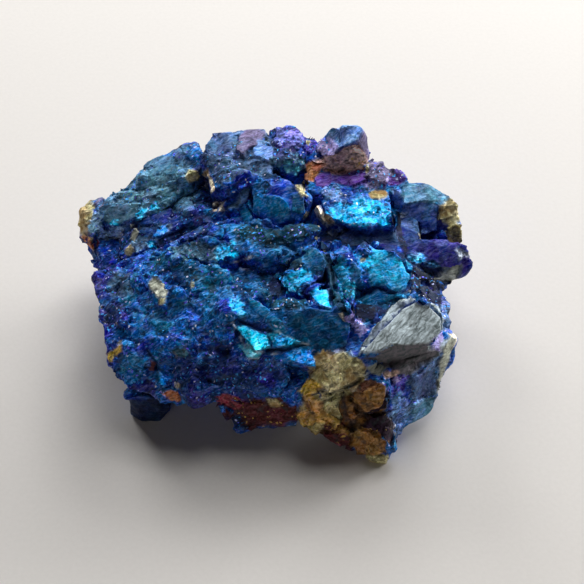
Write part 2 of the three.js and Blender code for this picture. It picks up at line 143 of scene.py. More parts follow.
CRIMSON = (122, 52, 66)
RUST = (84, 54, 42)
ORANGE = (170, 84, 50)
CREAM = (226, 214, 190)
PEWTER = (150, 154, 142)
# A near white for painted highlights and glints, and painted light on facets in shade.
PAINTED_LIGHT_WHITE = (218, 232, 250)
# A pale cyan for painted light on facets that lie in shade.
PAINTED_LIGHT_CYAN = (120, 216, 252)
MIST = (108, 156, 184)
SADDLE = (144, 106, 68)
TAN = (200, 166, 156)
COPPER = (172, 112, 76)
PLUM = (40, 27, 40)
BRASS = (190, 182, 140)
GOLD = (206, 170, 84)
HONEY = (176, 140, 80)
OLIVE = (140, 130, 88)
AMBER = (172, 124, 56)
OCHRE = (116, 84, 48)
UMBER = (58, 42, 28)
GREY = (184, 199, 206)
# The grey rock's front and underside, in painted shade.
SHADED_GREY = (105, 101, 108)
SLATE = (70, 84, 84)
# BLACK_BLUE is painted shade in the dark gaps.
BLACK_BLUE = (16, 24, 46)
# The colour of the painted shade in crevices, cracks and seams.
CREVICE_SHADE_COLOUR = (36, 54, 82)
INDIGO_LILAC = (104, 112, 188)
EARTH = (52, 62, 66)
# The colours of the painted glints on the ore.
PAINTED_GLINT_AZURE = (70, 176, 255)
PAINTED_GLINT_VIOLET = (110, 90, 255)
PAINTED_GLINT_WHITE = (235, 240, 255)

# The ore's own run of tarnish colours.
TARNISH_RUN = [INDIGO, NAVY, ULTRAMARINE, AZURE, TEAL, AZURE]
RUN_START = 0.42  # where in the run an upright face lies, as a share
RUN_WAVE = (0.16, 3.5)  # how far slow waves move that, and their size in mm
RUN_OF_FACET = 0.3  # how far each facet of the solid moves it
RUN_OF_CRYSTAL = 0.2
RUN_UPWARD = 0.18  # how far a face that faces up lies on
SHADE = 1.05  # how bright the darkest facets are
SHADE_OF_FACET = 0.3
SHADE_OF_CRYSTAL = 0.25

# Zones of other tarnish, and some of painted shade and painted light, as marked below: the colour, what
# shows, the middle, and the radii along X, Y and Z. What shows is "ore", which is granular, "satin",
# which is ore that cleaved smooth, "brass", which is ore without tarnish, "grey", which is bare rock,
# or "rust". A later zone lies over an earlier one.
ZONES = {
    # The back left, with long ridges, and the valley below them.
    "ridges": (STEEL, "ore", (-15.0, 10.5, 15.0), (6.5, 5.0, 4.0)),
    "ridge_crest": (SLATE_BLUE, "ore", (-10.5, 15.0, 17.0), (2.2, 1.6, 1.4)),
    "knob": (BRASS, "brass", (-22.5, 8.5, 12.5), (1.4, 2.4, 2.0)),
    "knob_rust": (ORANGE, "ore", (-22.4, 4.8, 10.6), (0.9, 1.2, 1.4)),
    "valley": (DUSK_NAVY, "ore", (-13.0, 5.5, 13.5), (7.0, 2.8, 1.8)),
    "valley_west": (ULTRAMARINE, "ore", (-20.0, 3.5, 10.5), (1.8, 2.0, 1.4)),
    "valley_east": (NAVY, "ore", (-8.5, 9.0, 14.0), (1.6, 1.2, 1.0)),
    # The back.
    "back": (SLATE_BLUE, "ore", (-4.0, 13.0, 18.0), (4.8, 5.0, 3.0)),
    "back_low": (ULTRAMARINE, "ore", (-3.0, 8.5, 17.0), (3.0, 1.2, 2.2)),
    "violet_lump": (VIOLET, "ore", (1.5, 15.0, 19.0), (2.1, 1.7, 1.4)),
    # lump_under faces away from the lamps, and its lighter colour is painted light.
    "lump_under": (STEEL, "ore", (1.5, 11.5, 18.2), (2.2, 1.7, 1.6)),
    "thumb": (ULTRAMARINE, "satin", (0.0, 6.0, 17.3), (3.4, 2.6, 2.6)),
    # The horn and the band of purple under it.
    "horn_rust": (RUST, "rust", (8.0, 12.3, 18.0), (3.5, 1.4, 2.2)),
    "horn": (PALE_STEEL, "satin", (8.5, 13.3, 21.3), (2.6, 1.8, 1.2)),
    "horn_edge": (MAUVE, "satin", (10.5, 13.5, 20.0), (0.7, 1.5, 3.0)),
    "purple_band": (PURPLE, "ore", (9.0, 11.0, 16.5), (4.0, 1.2, 1.0)),
    "purple_east": (PURPLE, "ore", (13.5, 12.0, 15.5), (2.4, 1.6, 1.2)),
    # The bright ledge, the painted shade under it, and the table below it.
    "ledge": (CYAN, "ore", (10.5, 6.0, 15.8), (3.4, 2.3, 1.2)),
    "ledge_under": (MIDNIGHT, "satin", (9.5, 3.6, 13.6), (4.8, 1.6, 1.4)),
    "table": (NAVY, "satin", (15.0, 3.2, 12.8), (4.4, 3.6, 1.4)),
    # The east block and the lobe under it.
    "block": (STEEL, "satin", (18.5, 10.5, 14.5), (3.4, 1.7, 1.4)),
    "block_front": (NAVY, "satin", (18.0, 8.2, 11.2), (4.0, 1.8, 2.8)),
    "block_brass": (BRASS, "brass", (21.3, 8.6, 12.8), (1.5, 2.0, 2.2)),
    "block_olive": (OLIVE, "brass", (21.5, 6.6, 10.8), (1.3, 1.2, 1.6)),
    "lobe": (INDIGO, "satin", (19.5, 3.2, 11.0), (4.6, 2.2, 2.2)),
    "lobe_under": (NAVY, "satin", (20.5, 2.6, 9.0), (3.4, 1.6, 1.8)),
    "east_gap": (INDIGO, "ore", (18.0, -2.5, 11.3), (1.8, 2.5, 1.4)),
    "east_wall": (SLATE_BLUE, "ore", (19.0, -5.5, 10.8), (1.2, 3.0, 1.6)),
    # The middle, where the corridor and the gap are painted shade.
    "corridor": (NAVY, "satin", (6.5, -5.0, 15.0), (0.9, 3.2, 2.5)),
    "gap": (MIDNIGHT, "satin", (11.5, -6.3, 12.6), (3.2, 1.6, 1.2)),
    "under_row": (DEEP_TEAL, "ore", (13.0, -5.0, 13.2), (3.8, 0.9, 1.0)),
    "smooth": (TEAL, "satin", (4.0, -10.3, 14.2), (4.8, 2.8, 2.6)),
    "smooth_west": (TEAL, "ore", (0.0, -8.6, 15.3), (2.6, 1.6, 1.4)),
    "smooth_east": (DEEP_TEAL, "satin", (6.4, -9.6, 13.8), (2.2, 2.6, 2.2)),
    "lip": (AZURE, "satin", (2.0, -12.7, 12.0), (2.8, 1.0, 1.0)),
    "thumb_foot": (DEEP_TEAL, "ore", (-1.5, 1.8, 16.0), (3.8, 1.6, 1.2)),
    "east_slope": (DEEP_TEAL, "ore", (-1.5, -3.5, 14.0), (3.0, 3.0, 2.0)),
    "mid_slope": (TEAL, "ore", (-8.0, -3.0, 15.0), (4.8, 1.8, 1.5)),
    # The west.
    "shelf": (AZURE, "ore", (-11.5, -8.5, 13.0), (4.5, 2.2, 1.5)),
    "shelf_violet": (INDIGO, "ore", (-18.5, -6.0, 12.0), (1.8, 2.2, 1.4)),
    "shelf_west": (INDIGO, "ore", (-20.0, -0.5, 11.5), (1.6, 3.4, 2.4)),
    # The curtain over the undercut, and the rim under it. under_navy and the foot are painted shade in the
    # undercut.
    "curtain": (DUSK_NAVY, "ore", (-6.0, -13.5, 10.0), (8.0, 2.5, 2.6)),
    "curtain_low": (INDIGO, "ore", (-15.0, -14.0, 7.7), (2.8, 0.9, 0.9)),
    "curtain_violet": (INDIGO, "ore", (-8.5, -15.2, 8.2), (1.8, 0.8, 0.9)),
    "maroon_face": (MAROON, "rust", (-1.5, -15.2, 5.3), (4.6, 1.4, 2.4)),
    "under_navy": (MIDNIGHT, "ore", (-5.2, -15.0, 4.3), (1.3, 1.1, 1.2)),
    "foot": (MIDNIGHT, "satin", (-14.5, -12.5, 3.2), (3.2, 2.2, 3.4)),
    # The south wall.
    "south": (SLATE_BLUE, "ore", (17.0, -12.5, 6.5), (4.2, 4.0, 6.5)),
    "south_strip": (ULTRAMARINE, "ore", (14.0, -14.0, 7.0), (1.4, 2.2, 5.0)),
    "east_corner": (CREAM, "brass", (20.5, -8.0, 9.5), (0.6, 1.2, 1.2)),
    # The grey rock: grey where it faces up, and a darker grey on its front and underside that is painted
    # shade.
    "grey_east": (GREY, "grey", (17.4, -9.2, 12.0), (2.4, 2.2, 3.4)),
    "grey_block": (GREY, "grey", (15.2, -10.4, 14.3), (4.4, 2.4, 3.5)),
    "grey_brow": (SHADED_GREY, "grey", (15.0, -11.9, 13.5), (5.0, 2.0, 2.0)),
    "charcoal": (SHADED_GREY, "grey", (15.3, -11.3, 10.2), (5.2, 2.2, 1.3)),
    # The brass cliff.
    "cliff": (UMBER, "brass", (8.0, -16.0, 5.5), (5.2, 3.0, 4.5)),
    "cap": (BRASS, "brass", (7.0, -13.8, 10.8), (3.4, 2.3, 2.4)),
    "knob_gold": (OLIVE, "brass", (4.7, -16.2, 7.3), (2.4, 1.4, 2.0)),
    "toe": (OCHRE, "brass", (10.5, -17.6, 3.5), (1.9, 1.2, 1.5)),
    "toe_rim": (CRIMSON, "rust", (7.0, -17.2, 3.2), (1.8, 1.2, 1.6)),
    "toe_tip": (OLIVE, "brass", (11.5, -18.5, 0.9), (2.0, 1.2, 1.0)),
}
# Zones that only facets with this normal take.
FACING = {"grey_block": (-0.03, -0.42, 0.91), "grey_brow": (0.1, -0.75, 0.65)}
SAME_WAY = 0.94  # the cosine of the angle within which two facets face the same way
ZONE_EDGE = 0.3  # the width of a zone's soft edge, as a share of its radii
SNAP = 0.5  # how far a point takes its zone from its crystal's middle, and not from itself
WANDER = 0.35  # how far the zones' outlines wander
FLECKS = 0.02  # the share of the ore's middle crystals that are bare brass

# Single facets that can be told apart from the front: the colour, what shows, and the outline in
# pixels of the picture. Each lies where the camera sees it on the rock, is levelled into one plane,
# and stands a little proud. A later facet lies over an earlier one.
# Many facets that face away from the lamps take a lighter colour than the ore has there: painted
# and horn_rust. spark_low, block_spark and lobe_edge are painted glints and highlights.
# light that makes up for their shade, as on ridge_foot, thumb_side, lump_azure, knuckle, block_front
FACETS = {
    # The long ridges.
    "ridge_block": (DUSK_TEAL, "satin", [
        (143, 166), (150, 157), (160, 153), (176, 156), (177, 176), (152, 177),
    ]),
    "ridge_azure": (BRIGHT_AZURE, "ore", [(164, 151), (175, 151), (176, 159), (169, 160)]),
    "ridge_crest": (SLATE_BLUE, "ore", [
        (180, 150), (192, 142), (204, 142), (208, 150), (195, 159), (183, 158),
    ]),
    "crest_azure": (AZURE, "ore", [(194, 147), (199, 146), (196, 160), (192, 160)]),
    "ridge_dark": (MIST, "satin", [(140, 189), (152, 178), (166, 176), (176, 178), (160, 185)]),
    "ridge_pale": (MIST, "ore", [
        (109, 201), (116, 195), (132, 190), (160, 184), (178, 180), (178, 187), (158, 197),
        (122, 205),
    ]),
    "ridge_teal": (MIST, "satin", [(106, 209), (124, 205), (142, 203), (136, 215), (119, 225), (104, 220)]),
    "ridge_cyan": (BRIGHT_CYAN, "ore", [
        (133, 218), (142, 211), (157, 204), (158, 209), (147, 215), (137, 222),
    ]),
    "ridge_foot": (PALE_STEEL, "ore", [(90, 218), (95, 212), (104, 211), (104, 228), (94, 232), (90, 226)]),
    "ridge_under": (PALE_STEEL, "ore", [(95, 234), (105, 229), (126, 230), (120, 237), (98, 239)]),
    "spark_west": (BRIGHT_CYAN, "ore", [(111, 221), (116, 218), (118, 225), (113, 227)]),
    "spark_low": (PAINTED_LIGHT_WHITE, "ore", [(116, 233), (121, 231), (124, 236), (119, 238)]),
    "knob_violet": (MAUVE, "satin", [(93, 205), (97, 197), (104, 199), (103, 206), (96, 208)]),
    # The valley.
    "valley_plateau": (DUSK_NAVY, "satin", [
        (131, 232), (141, 221), (156, 214), (169, 210), (173, 216), (160, 225), (144, 233),
    ]),
    "valley_violet": (DUSK_BLUE, "ore", [(190, 214), (205, 211), (214, 218), (206, 228), (192, 226)]),
    "lens": (PALE_STEEL, "ore", [
        (132, 241), (141, 234), (155, 229), (166, 226), (169, 231), (158, 242), (146, 254),
        (134, 252),
    ]),
    "lens_azure": (BRIGHT_AZURE, "satin", [(155, 230), (166, 226), (169, 231), (160, 239), (151, 238)]),
    "lens_cyan": (BRIGHT_CYAN, "satin", [(146, 243), (150, 240), (156, 242), (156, 249), (149, 251)]),
    "lens_foot": (AZURE, "ore", [(138, 250), (148, 252), (158, 250), (158, 255), (146, 258)]),
    "lens_beige": (PEWTER, "satin", [(131, 233), (134, 226), (138, 232), (135, 242), (131, 240)]),
    "lens_gold": (BRASS, "brass", [(126, 250), (130, 245), (134, 250), (131, 257), (126, 255)]),
    "brass_knot": (BRASS, "brass", [
        (186, 177), (188, 170), (194, 169), (198, 175), (196, 180), (189, 181),
    ]),
    "brass_vein": (CREAM, "brass", [
        (204, 173), (209, 169), (210, 178), (214, 183), (213, 192), (209, 190), (208, 183),
    ]),
    "brass_slab": (CREAM, "brass", [(213, 202), (218, 200), (218, 210), (213, 212)]),
    "brass_chip": (CREAM, "brass", [(221, 202), (226, 201), (224, 212), (219, 212)]),
    # The back.
    "back_slate": (SLATE_BLUE, "satin", [
        (208, 144), (217, 134), (226, 131), (234, 134), (237, 142), (231, 151), (214, 153),
    ]),
    "back_mauve": (MAUVE, "satin", [
        (239, 138), (245, 131), (256, 127), (265, 133), (262, 141), (250, 147), (244, 158),
        (237, 152),
    ]),
    "back_light": (PERIWINKLE, "satin", [
        (252, 149), (258, 141), (265, 142), (272, 147), (274, 156), (267, 162), (254, 158),
    ]),
    "violet_lump": (INDIGO_LILAC, "ore", [
        (273, 140), (277, 130), (285, 127), (295, 127), (303, 135), (303, 144), (297, 152),
        (280, 147),
    ]),
    "lump_under": (DEEP_SLATE, "ore", [(272, 153), (280, 148), (291, 152), (296, 160), (276, 162)]),
    "lump_azure": (PAINTED_LIGHT_CYAN, "satin", [(282, 165), (299, 164), (303, 170), (296, 176), (285, 173)]),
    "violet_pebble": (VIOLET, "ore", [
        (301, 149), (308, 142), (316, 139), (319, 145), (312, 154), (304, 157),
    ]),
    "thumb": (LAKE, "satin", [
        (247, 206), (256, 190), (272, 196), (286, 199), (291, 210), (288, 220), (278, 226),
        (262, 219),
    ]),
    "thumb_top": (LAKE, "ore", [(249, 190), (258, 180), (267, 177), (273, 184), (263, 193), (253, 197)]),
    "thumb_side": (PALE_STEEL, "satin", [(226, 210), (243, 192), (250, 189), (246, 202), (236, 209)]),
    "thumb_east": (DEEP_TEAL, "satin", [(291, 196), (301, 193), (307, 205), (300, 214), (292, 212)]),
    "teal_pocket": (TEAL, "satin", [(240, 211), (248, 208), (254, 215), (252, 222), (243, 224)]),
    "teal_drop": (DARK_TEAL, "satin", [(308, 222), (316, 222), (318, 230), (312, 234), (306, 228)]),
    "under_thumb": (DARK_TEAL, "ore", [
        (228, 227), (246, 227), (262, 226), (280, 230), (300, 224), (312, 234), (298, 244),
        (268, 248), (240, 240),
    ]),
    # The horn, the rust and the purple.
    "horn_top": (PERIWINKLE, "satin", [
        (327, 141), (335, 132), (347, 126), (357, 126), (363, 131), (360, 140), (348, 147),
        (332, 147),
    ]),
    "horn_edge": (MAUVE, "satin", [(361, 140), (365, 132), (370, 138), (367, 152), (366, 166), (361, 165)]),
    "horn_pale": (LILAC, "ore", [(318, 150), (323, 142), (332, 140), (338, 148), (336, 156), (326, 154)]),
    "horn_rust": (TAN, "rust", [
        (313, 161), (325, 154), (337, 154), (345, 148), (360, 146), (366, 160), (361, 169),
        (332, 176), (320, 167),
    ]),
    "orange": (COPPER, "rust", [(305, 165), (312, 162), (326, 163), (320, 171), (314, 182), (306, 181)]),
    "orange_gold": (GOLD, "brass", [(302, 184), (306, 180), (309, 186), (306, 191), (303, 190)]),
    "cream_vein": (BRASS, "brass", [
        (295, 183), (298, 184), (303, 190), (308, 197), (303, 197), (297, 190),
    ]),
    "violet_blue": (PURPLE, "satin", [
        (315, 179), (321, 172), (330, 172), (334, 182), (325, 190), (316, 188),
    ]),
    "purple_band": (PURPLE, "satin", [
        (331, 178), (345, 175), (366, 172), (367, 181), (350, 187), (335, 184),
    ]),
    "purple_east": (MAUVE, "ore", [(366, 163), (380, 164), (394, 171), (388, 181), (378, 187), (368, 178)]),
    # The ledge.
    "ledge_blue": (ULTRAMARINE, "ore", [
        (336, 190), (345, 186), (353, 190), (357, 200), (350, 206), (343, 198),
    ]),
    "ledge_thread": (PERIWINKLE, "ore", [
        (322, 190), (328, 187), (336, 190), (346, 203), (340, 207), (330, 199), (323, 195),
    ]),
    "ledge_west": (BRIGHT_CYAN, "ore", [
        (330, 211), (338, 205), (348, 209), (352, 216), (346, 225), (337, 222),
    ]),
    "ledge": (CYAN, "ore", [
        (351, 215), (357, 207), (366, 201), (380, 203), (390, 208), (392, 228), (375, 224),
        (370, 230), (355, 223),
    ]),
    "gold_nub": (OLIVE, "brass", [(370, 193), (375, 189), (385, 191), (387, 197), (380, 200), (372, 198)]),
    "nub_azure": (LILAC, "ore", [(366, 187), (371, 183), (376, 185), (371, 191)]),
    "knuckle": (CREAM, "brass", [
        (315, 211), (320, 207), (326, 213), (333, 218), (334, 226), (328, 228), (320, 222),
    ]),
    "knuckle_cyan": (PAINTED_LIGHT_WHITE, "ore", [(329, 228), (333, 227), (339, 232), (337, 235), (331, 233)]),
    "pad": (LAKE, "satin", [(330, 249), (335, 245), (342, 246), (350, 251), (345, 256), (335, 254)]),
    "peg": (AZURE, "satin", [(394, 238), (397, 238), (401, 252), (397, 252)]),
    # The east block and its lobe.
    "block_top": (STEEL, "satin", [
        (402, 191), (413, 184), (428, 184), (445, 194), (450, 198), (430, 203), (403, 207),
    ]),
    "block_indigo": (PERIWINKLE, "satin", [(391, 190), (402, 190), (402, 207), (396, 207)]),
    "block_front": (PERIWINKLE, "satin", [
        (399, 209), (420, 205), (438, 205), (438, 232), (420, 234), (400, 228),
    ]),
    "block_spark": (PAINTED_LIGHT_WHITE, "ore", [(401, 212), (407, 210), (408, 214), (403, 216)]),
    "lobe_top": (DUSK_BLUE, "satin", [
        (408, 246), (420, 240), (440, 243), (455, 248), (464, 255), (458, 263), (440, 265),
        (420, 260),
    ]),
    "lobe_azure": (PALE_AZURE, "ore", [
        (409, 254), (418, 255), (426, 261), (439, 265), (437, 269), (427, 267), (415, 262),
    ]),
    "lobe_edge": (PAINTED_LIGHT_WHITE, "ore", [(455, 249), (463, 250), (468, 256), (462, 259)]),
    "lobe_dot": (BRIGHT_AZURE, "ore", [(420, 279), (424, 277), (426, 281), (422, 284)]),
    "lobe_below": (PEWTER, "satin", [
        (412, 268), (425, 274), (440, 272), (462, 264), (462, 276), (447, 282), (430, 281),
    ]),
    # The dark gaps: painted shade between and under the facets.
    "gap_ledge": (DEEP_SLATE, "satin", [
        (336, 236), (352, 226), (370, 232), (392, 230), (400, 236), (402, 248), (385, 243),
        (350, 246),
    ]),
    "gap_east": (BLACK_BLUE, "satin", [
        (392, 210), (399, 212), (401, 230), (408, 246), (405, 256), (397, 240),
    ]),
    "gap_corridor": (DARK_TEAL, "satin", [
        (320, 243), (328, 247), (333, 262), (335, 282), (343, 300), (350, 314), (341, 316),
        (333, 300), (328, 280), (325, 262),
    ]),
    "gap_row": (TEAL, "satin", [
        (356, 296), (366, 290), (380, 289), (395, 292), (412, 288), (408, 296), (386, 303),
        (366, 306),
    ]),
    "row_teal": (CYAN, "ore", [(392, 294), (400, 292), (404, 297), (395, 300)]),
    "gap_maroon": (BLACK_BLUE, "satin", [(345, 306), (362, 304), (378, 308), (372, 320), (360, 322)]),
    "gap_slope": (BLACK_BLUE, "ore", [
        (406, 263), (420, 274), (436, 284), (443, 292), (444, 305), (437, 308), (423, 300),
        (412, 290),
    ]),
    # The bright facets of the middle.
    "big_facet": (DEEP_CYAN, "satin", [
        (366, 268), (373, 250), (380, 247), (392, 253), (402, 260), (411, 271), (406, 288),
        (395, 290), (385, 286), (371, 289),
    ]),
    "big_west": (CYAN, "ore", [
        (352, 254), (358, 253), (364, 259), (370, 252), (372, 262), (368, 272), (359, 266),
    ]),
    "big_azure": (BRIGHT_AZURE, "satin", [(368, 247), (373, 243), (379, 246), (373, 251)]),
    "big_shade": (DEEP_TEAL, "satin", [
        (352, 262), (360, 271), (364, 285), (358, 294), (351, 285), (348, 270),
    ]),
    "tooth": (DEEP_CYAN, "ore", [
        (333, 268), (341, 260), (349, 266), (352, 280), (358, 295), (352, 302), (345, 303),
        (337, 293),
    ]),
    "facet_blue": (DEEP_TEAL, "satin", [
        (302, 253), (314, 247), (324, 256), (327, 262), (323, 272), (312, 269), (305, 262),
    ]),
    "facet_mid": (DARK_TEAL, "ore", [
        (283, 268), (292, 258), (300, 258), (306, 264), (300, 269), (289, 273),
    ]),
    "facet_teal": (CYAN, "ore", [
        (279, 275), (290, 273), (300, 269), (312, 271), (311, 280), (303, 286), (298, 296),
        (290, 295), (284, 284),
    ]),
    "spark_wing": (ULTRAMARINE, "satin", [(303, 293), (310, 286), (322, 283), (318, 289), (309, 295)]),
    "spark": (CYAN, "satin", [
        (310, 292), (318, 288), (326, 285), (328, 295), (332, 307), (322, 306), (314, 301),
    ]),
    # hollow is painted shade in a hollow.
    "hollow": (MIDNIGHT, "satin", [(265, 286), (274, 276), (283, 284), (283, 295), (272, 300)]),
    "grains": (LAKE, "ore", [(243, 277), (254, 275), (262, 280), (258, 288), (248, 290)]),
    # The bright strip round the smooth slope, whose brightest cyan is partly painted highlight.
    "slope_top": (TEAL, "satin", [(246, 296), (258, 302), (272, 311), (282, 322), (270, 322), (257, 316)]),
    "slope_grey": (DARK_TEAL, "ore", [
        (262, 302), (280, 299), (304, 300), (312, 306), (286, 311), (272, 310),
    ]),
    "strip_top": (CYAN, "ore", [
        (230, 312), (234, 300), (239, 297), (242, 306), (247, 312), (251, 317), (240, 315),
    ]),
    "strip": (BRIGHT_CYAN, "satin", [
        (236, 328), (245, 325), (258, 331), (266, 336), (272, 348), (257, 350), (247, 341),
    ]),
    "strip_east": (CYAN, "satin", [(267, 333), (282, 333), (292, 337), (303, 343), (292, 348), (274, 347)]),
    "strip_foot": (PAINTED_LIGHT_CYAN, "satin", [(239, 345), (247, 343), (260, 352), (258, 358), (248, 356)]),
    "lip": (BRIGHT_AZURE, "satin", [
        (285, 352), (298, 347), (310, 349), (314, 360), (315, 367), (303, 364), (290, 358),
    ]),
    "slope_dark": (DEEP_TEAL, "satin", [
        (286, 311), (308, 308), (330, 310), (345, 312), (352, 326), (345, 345), (330, 352),
        (312, 345), (308, 335), (290, 325),
    ]),
    "lilac_gap": (LILAC, "ore", [(345, 318), (350, 316), (360, 322), (368, 330), (365, 337), (357, 333)]),
    "corner": (PALE_STEEL, "satin", [(346, 352), (350, 351), (358, 357), (352, 359)]),
    # The slopes of the west.
    "long_ridge": (STEEL, "ore", [
        (168, 249), (180, 242), (196, 238), (213, 241), (221, 246), (214, 262), (195, 262),
        (175, 258),
    ]),
    "long_cyan": (BRIGHT_CYAN, "ore", [
        (213, 251), (221, 241), (228, 241), (239, 255), (232, 258), (216, 258),
    ]),
    "slope_blue": (TEAL, "ore", [(150, 259), (160, 253), (172, 257), (174, 264), (164, 276), (154, 272)]),
    "slope_green": (DEEP_TEAL, "ore", [(168, 264), (198, 263), (204, 275), (190, 285), (172, 284)]),
    "flake": (PEWTER, "brass", [
        (150, 282), (154, 277), (160, 284), (167, 291), (166, 297), (157, 298), (151, 290),
    ]),
    "flake_foot": (BRASS, "brass", [(158, 299), (165, 298), (164, 303), (158, 306)]),
    "blue_splinter": (AZURE, "satin", [(128, 303), (137, 304), (147, 313), (140, 313), (131, 308)]),
    "shelf_azure": (TEAL, "ore", [(146, 312), (160, 314), (173, 325), (168, 332), (155, 330), (146, 326)]),
    "shelf_blue": (AZURE, "ore", [(149, 338), (165, 337), (169, 349), (160, 357), (152, 350)]),
    "shelf_teal": (DARK_TEAL, "satin", [(204, 282), (214, 284), (219, 291), (209, 293)]),
    "west_mauve": (SLATE_BLUE, "ore", [
        (108, 280), (118, 270), (128, 275), (134, 290), (128, 300), (114, 297),
    ]),
    "west_blue": (ULTRAMARINE, "ore", [(96, 262), (106, 261), (108, 275), (98, 279)]),
    "west_indigo": (NAVY, "ore", [(104, 305), (116, 305), (123, 315), (118, 326), (109, 325)]),
    "west_azure": (AZURE, "satin", [(112, 329), (122, 330), (120, 337), (114, 340)]),
    # The curtain and its rim.
    "curtain_azure": (LAKE, "ore", [
        (122, 356), (130, 350), (140, 356), (147, 363), (143, 374), (135, 385), (127, 386),
        (120, 377),
    ]),
    "curtain_blue": (BRIGHT_AZURE, "ore", [(151, 371), (164, 365), (173, 373), (168, 383), (155, 383)]),
    "curtain_streak": (INDIGO, "ore", [(174, 346), (185, 343), (193, 350), (196, 356), (184, 354)]),
    "curtain_stain": (DUSK_TEAL, "brass", [(172, 350), (180, 347), (190, 353), (186, 358), (176, 357)]),
    "curtain_plum": (MAROON, "satin", [(149, 358), (155, 360), (156, 371), (150, 369)]),
    "rim_gold": (GOLD, "brass", [(107, 353), (115, 349), (123, 344), (125, 350), (116, 356), (111, 361)]),
    "rust_rim": (COPPER, "brass", [(164, 394), (170, 390), (178, 392), (180, 399), (171, 401)]),
    "rim_speck": (CREAM, "brass", [(175, 383), (179, 381), (181, 388), (178, 389)]),
    "rim_red": (CRIMSON, "rust", [(214, 398), (222, 394), (236, 396), (246, 403), (236, 409), (220, 405)]),
    "rim_brass": (BRASS, "brass", [(266, 399), (272, 395), (284, 402), (280, 407), (270, 404)]),
    "maroon_face": (MAROON, "rust", [
        (238, 407), (248, 402), (268, 404), (284, 408), (297, 404), (299, 420), (278, 425),
        (246, 424),
    ]),
    # The brass cliff.
    "cap": (BRASS, "brass", [
        (311, 379), (321, 363), (330, 357), (346, 355), (361, 360), (366, 368), (360, 380),
        (345, 388), (322, 388),
    ]),
    "cap_side": (GOLD, "brass", [(297, 392), (303, 384), (312, 378), (322, 388), (314, 394), (303, 396)]),
    "streaked": (BRASS, "brass", [
        (318, 389), (336, 391), (347, 390), (344, 400), (337, 404), (340, 418), (330, 412),
        (322, 404),
    ]),
    "knob_orange": (HONEY, "satin", [
        (301, 397), (308, 393), (316, 399), (325, 403), (320, 412), (308, 412),
    ]),
    "knob_low": (HONEY, "brass", [
        (296, 413), (302, 409), (312, 414), (324, 412), (336, 418), (345, 427), (348, 435),
        (338, 432), (322, 422), (302, 425),
    ]),
    "recess": (OCHRE, "brass", [
        (338, 403), (345, 396), (356, 392), (360, 400), (358, 412), (353, 424), (345, 422),
    ]),
    "ochre": (SADDLE, "brass", [
        (352, 396), (360, 388), (374, 381), (385, 384), (387, 396), (379, 410), (366, 413),
        (360, 404),
    ]),
    "ochre_top": (RUST, "rust", [(354, 391), (361, 383), (370, 379), (380, 384), (372, 388), (362, 393)]),
    "plum_face": (PLUM, "rust", [
        (360, 428), (368, 412), (380, 408), (387, 396), (388, 384), (391, 400), (394, 436),
        (391, 448), (376, 431),
    ]),
    "toe": (SADDLE, "brass", [
        (349, 436), (357, 430), (372, 431), (384, 442), (387, 452), (373, 456), (357, 450),
    ]),
    "toe_rim": (MAROON, "rust", [(322, 424), (336, 431), (350, 438), (353, 448), (344, 449), (330, 440)]),
    "toe_tip": (BRASS, "brass", [
        (356, 453), (368, 455), (384, 456), (389, 453), (387, 462), (378, 466), (367, 461),
    ]),
    # The south wall and the grey rock.
    "south_blue": (PERIWINKLE, "ore", [
        (389, 398), (397, 392), (405, 396), (408, 408), (404, 420), (399, 440), (393, 430),
    ]),
    "south_violet": (VIOLET, "ore", [
        (389, 385), (396, 375), (404, 376), (406, 391), (396, 393), (390, 398),
    ]),
    "south_spot": (LILAC, "satin", [(391, 379), (396, 376), (399, 381), (394, 385)]),
    "south_dark": (DEEP_SLATE, "satin", [
        (409, 378), (420, 374), (432, 369), (433, 382), (429, 395), (413, 395),
    ]),
    "south_low": (STEEL, "satin", [(412, 403), (424, 397), (432, 396), (434, 410), (424, 416), (411, 423)]),
    "south_edge": (PEWTER, "satin", [
        (434, 392), (440, 360), (448, 336), (456, 338), (450, 356), (441, 378),
    ]),
    "grey_face": (GREY, "grey", [
        (358, 355), (364, 342), (376, 326), (391, 308), (410, 299), (423, 303), (437, 309),
        (443, 319), (441, 333), (428, 342), (410, 345), (395, 345), (376, 351),
    ]),
    # The grey rock's front, a darker grey that is painted shade.
    "grey_brow": (SHADED_GREY, "grey", [
        (362, 358), (379, 352), (396, 346), (411, 346), (429, 344), (439, 354), (430, 362),
        (415, 370), (399, 368), (378, 362),
    ]),
    "grey_smear": (PEWTER, "grey", [(366, 366), (375, 364), (386, 369), (381, 376), (371, 373)]),
    "orange_edge": (TAN, "brass", [(384, 373), (391, 371), (399, 371), (395, 376), (386, 378)]),
    "grey_lilac": (LILAC, "satin", [(431, 347), (434, 337), (440, 333), (442, 341), (440, 352)]),
}
LEVEL = 0.8  # how far a facet's points move to its plane, as a share
LEVEL_LIMIT = 0.7
# The bright colours of the shining facets are partly the ore's own tarnish and partly painted highlight.
SHINING = (BRIGHT_CYAN, CYAN, PALE_AZURE, BRIGHT_AZURE, PAINTED_LIGHT_CYAN, PAINTED_LIGHT_WHITE, CREAM)  # these turn to the light
CATCH = 0.8  # how far they turn
PROUD = 0.05  # how far a facet stands out
SEAM = 0.16  # the width of the seam round a facet, a groove darkened with painted shade
SEAM_DEPTH = 0.06
# How dark the painted shade in the seams is.
SEAM_SHADE = 0.1

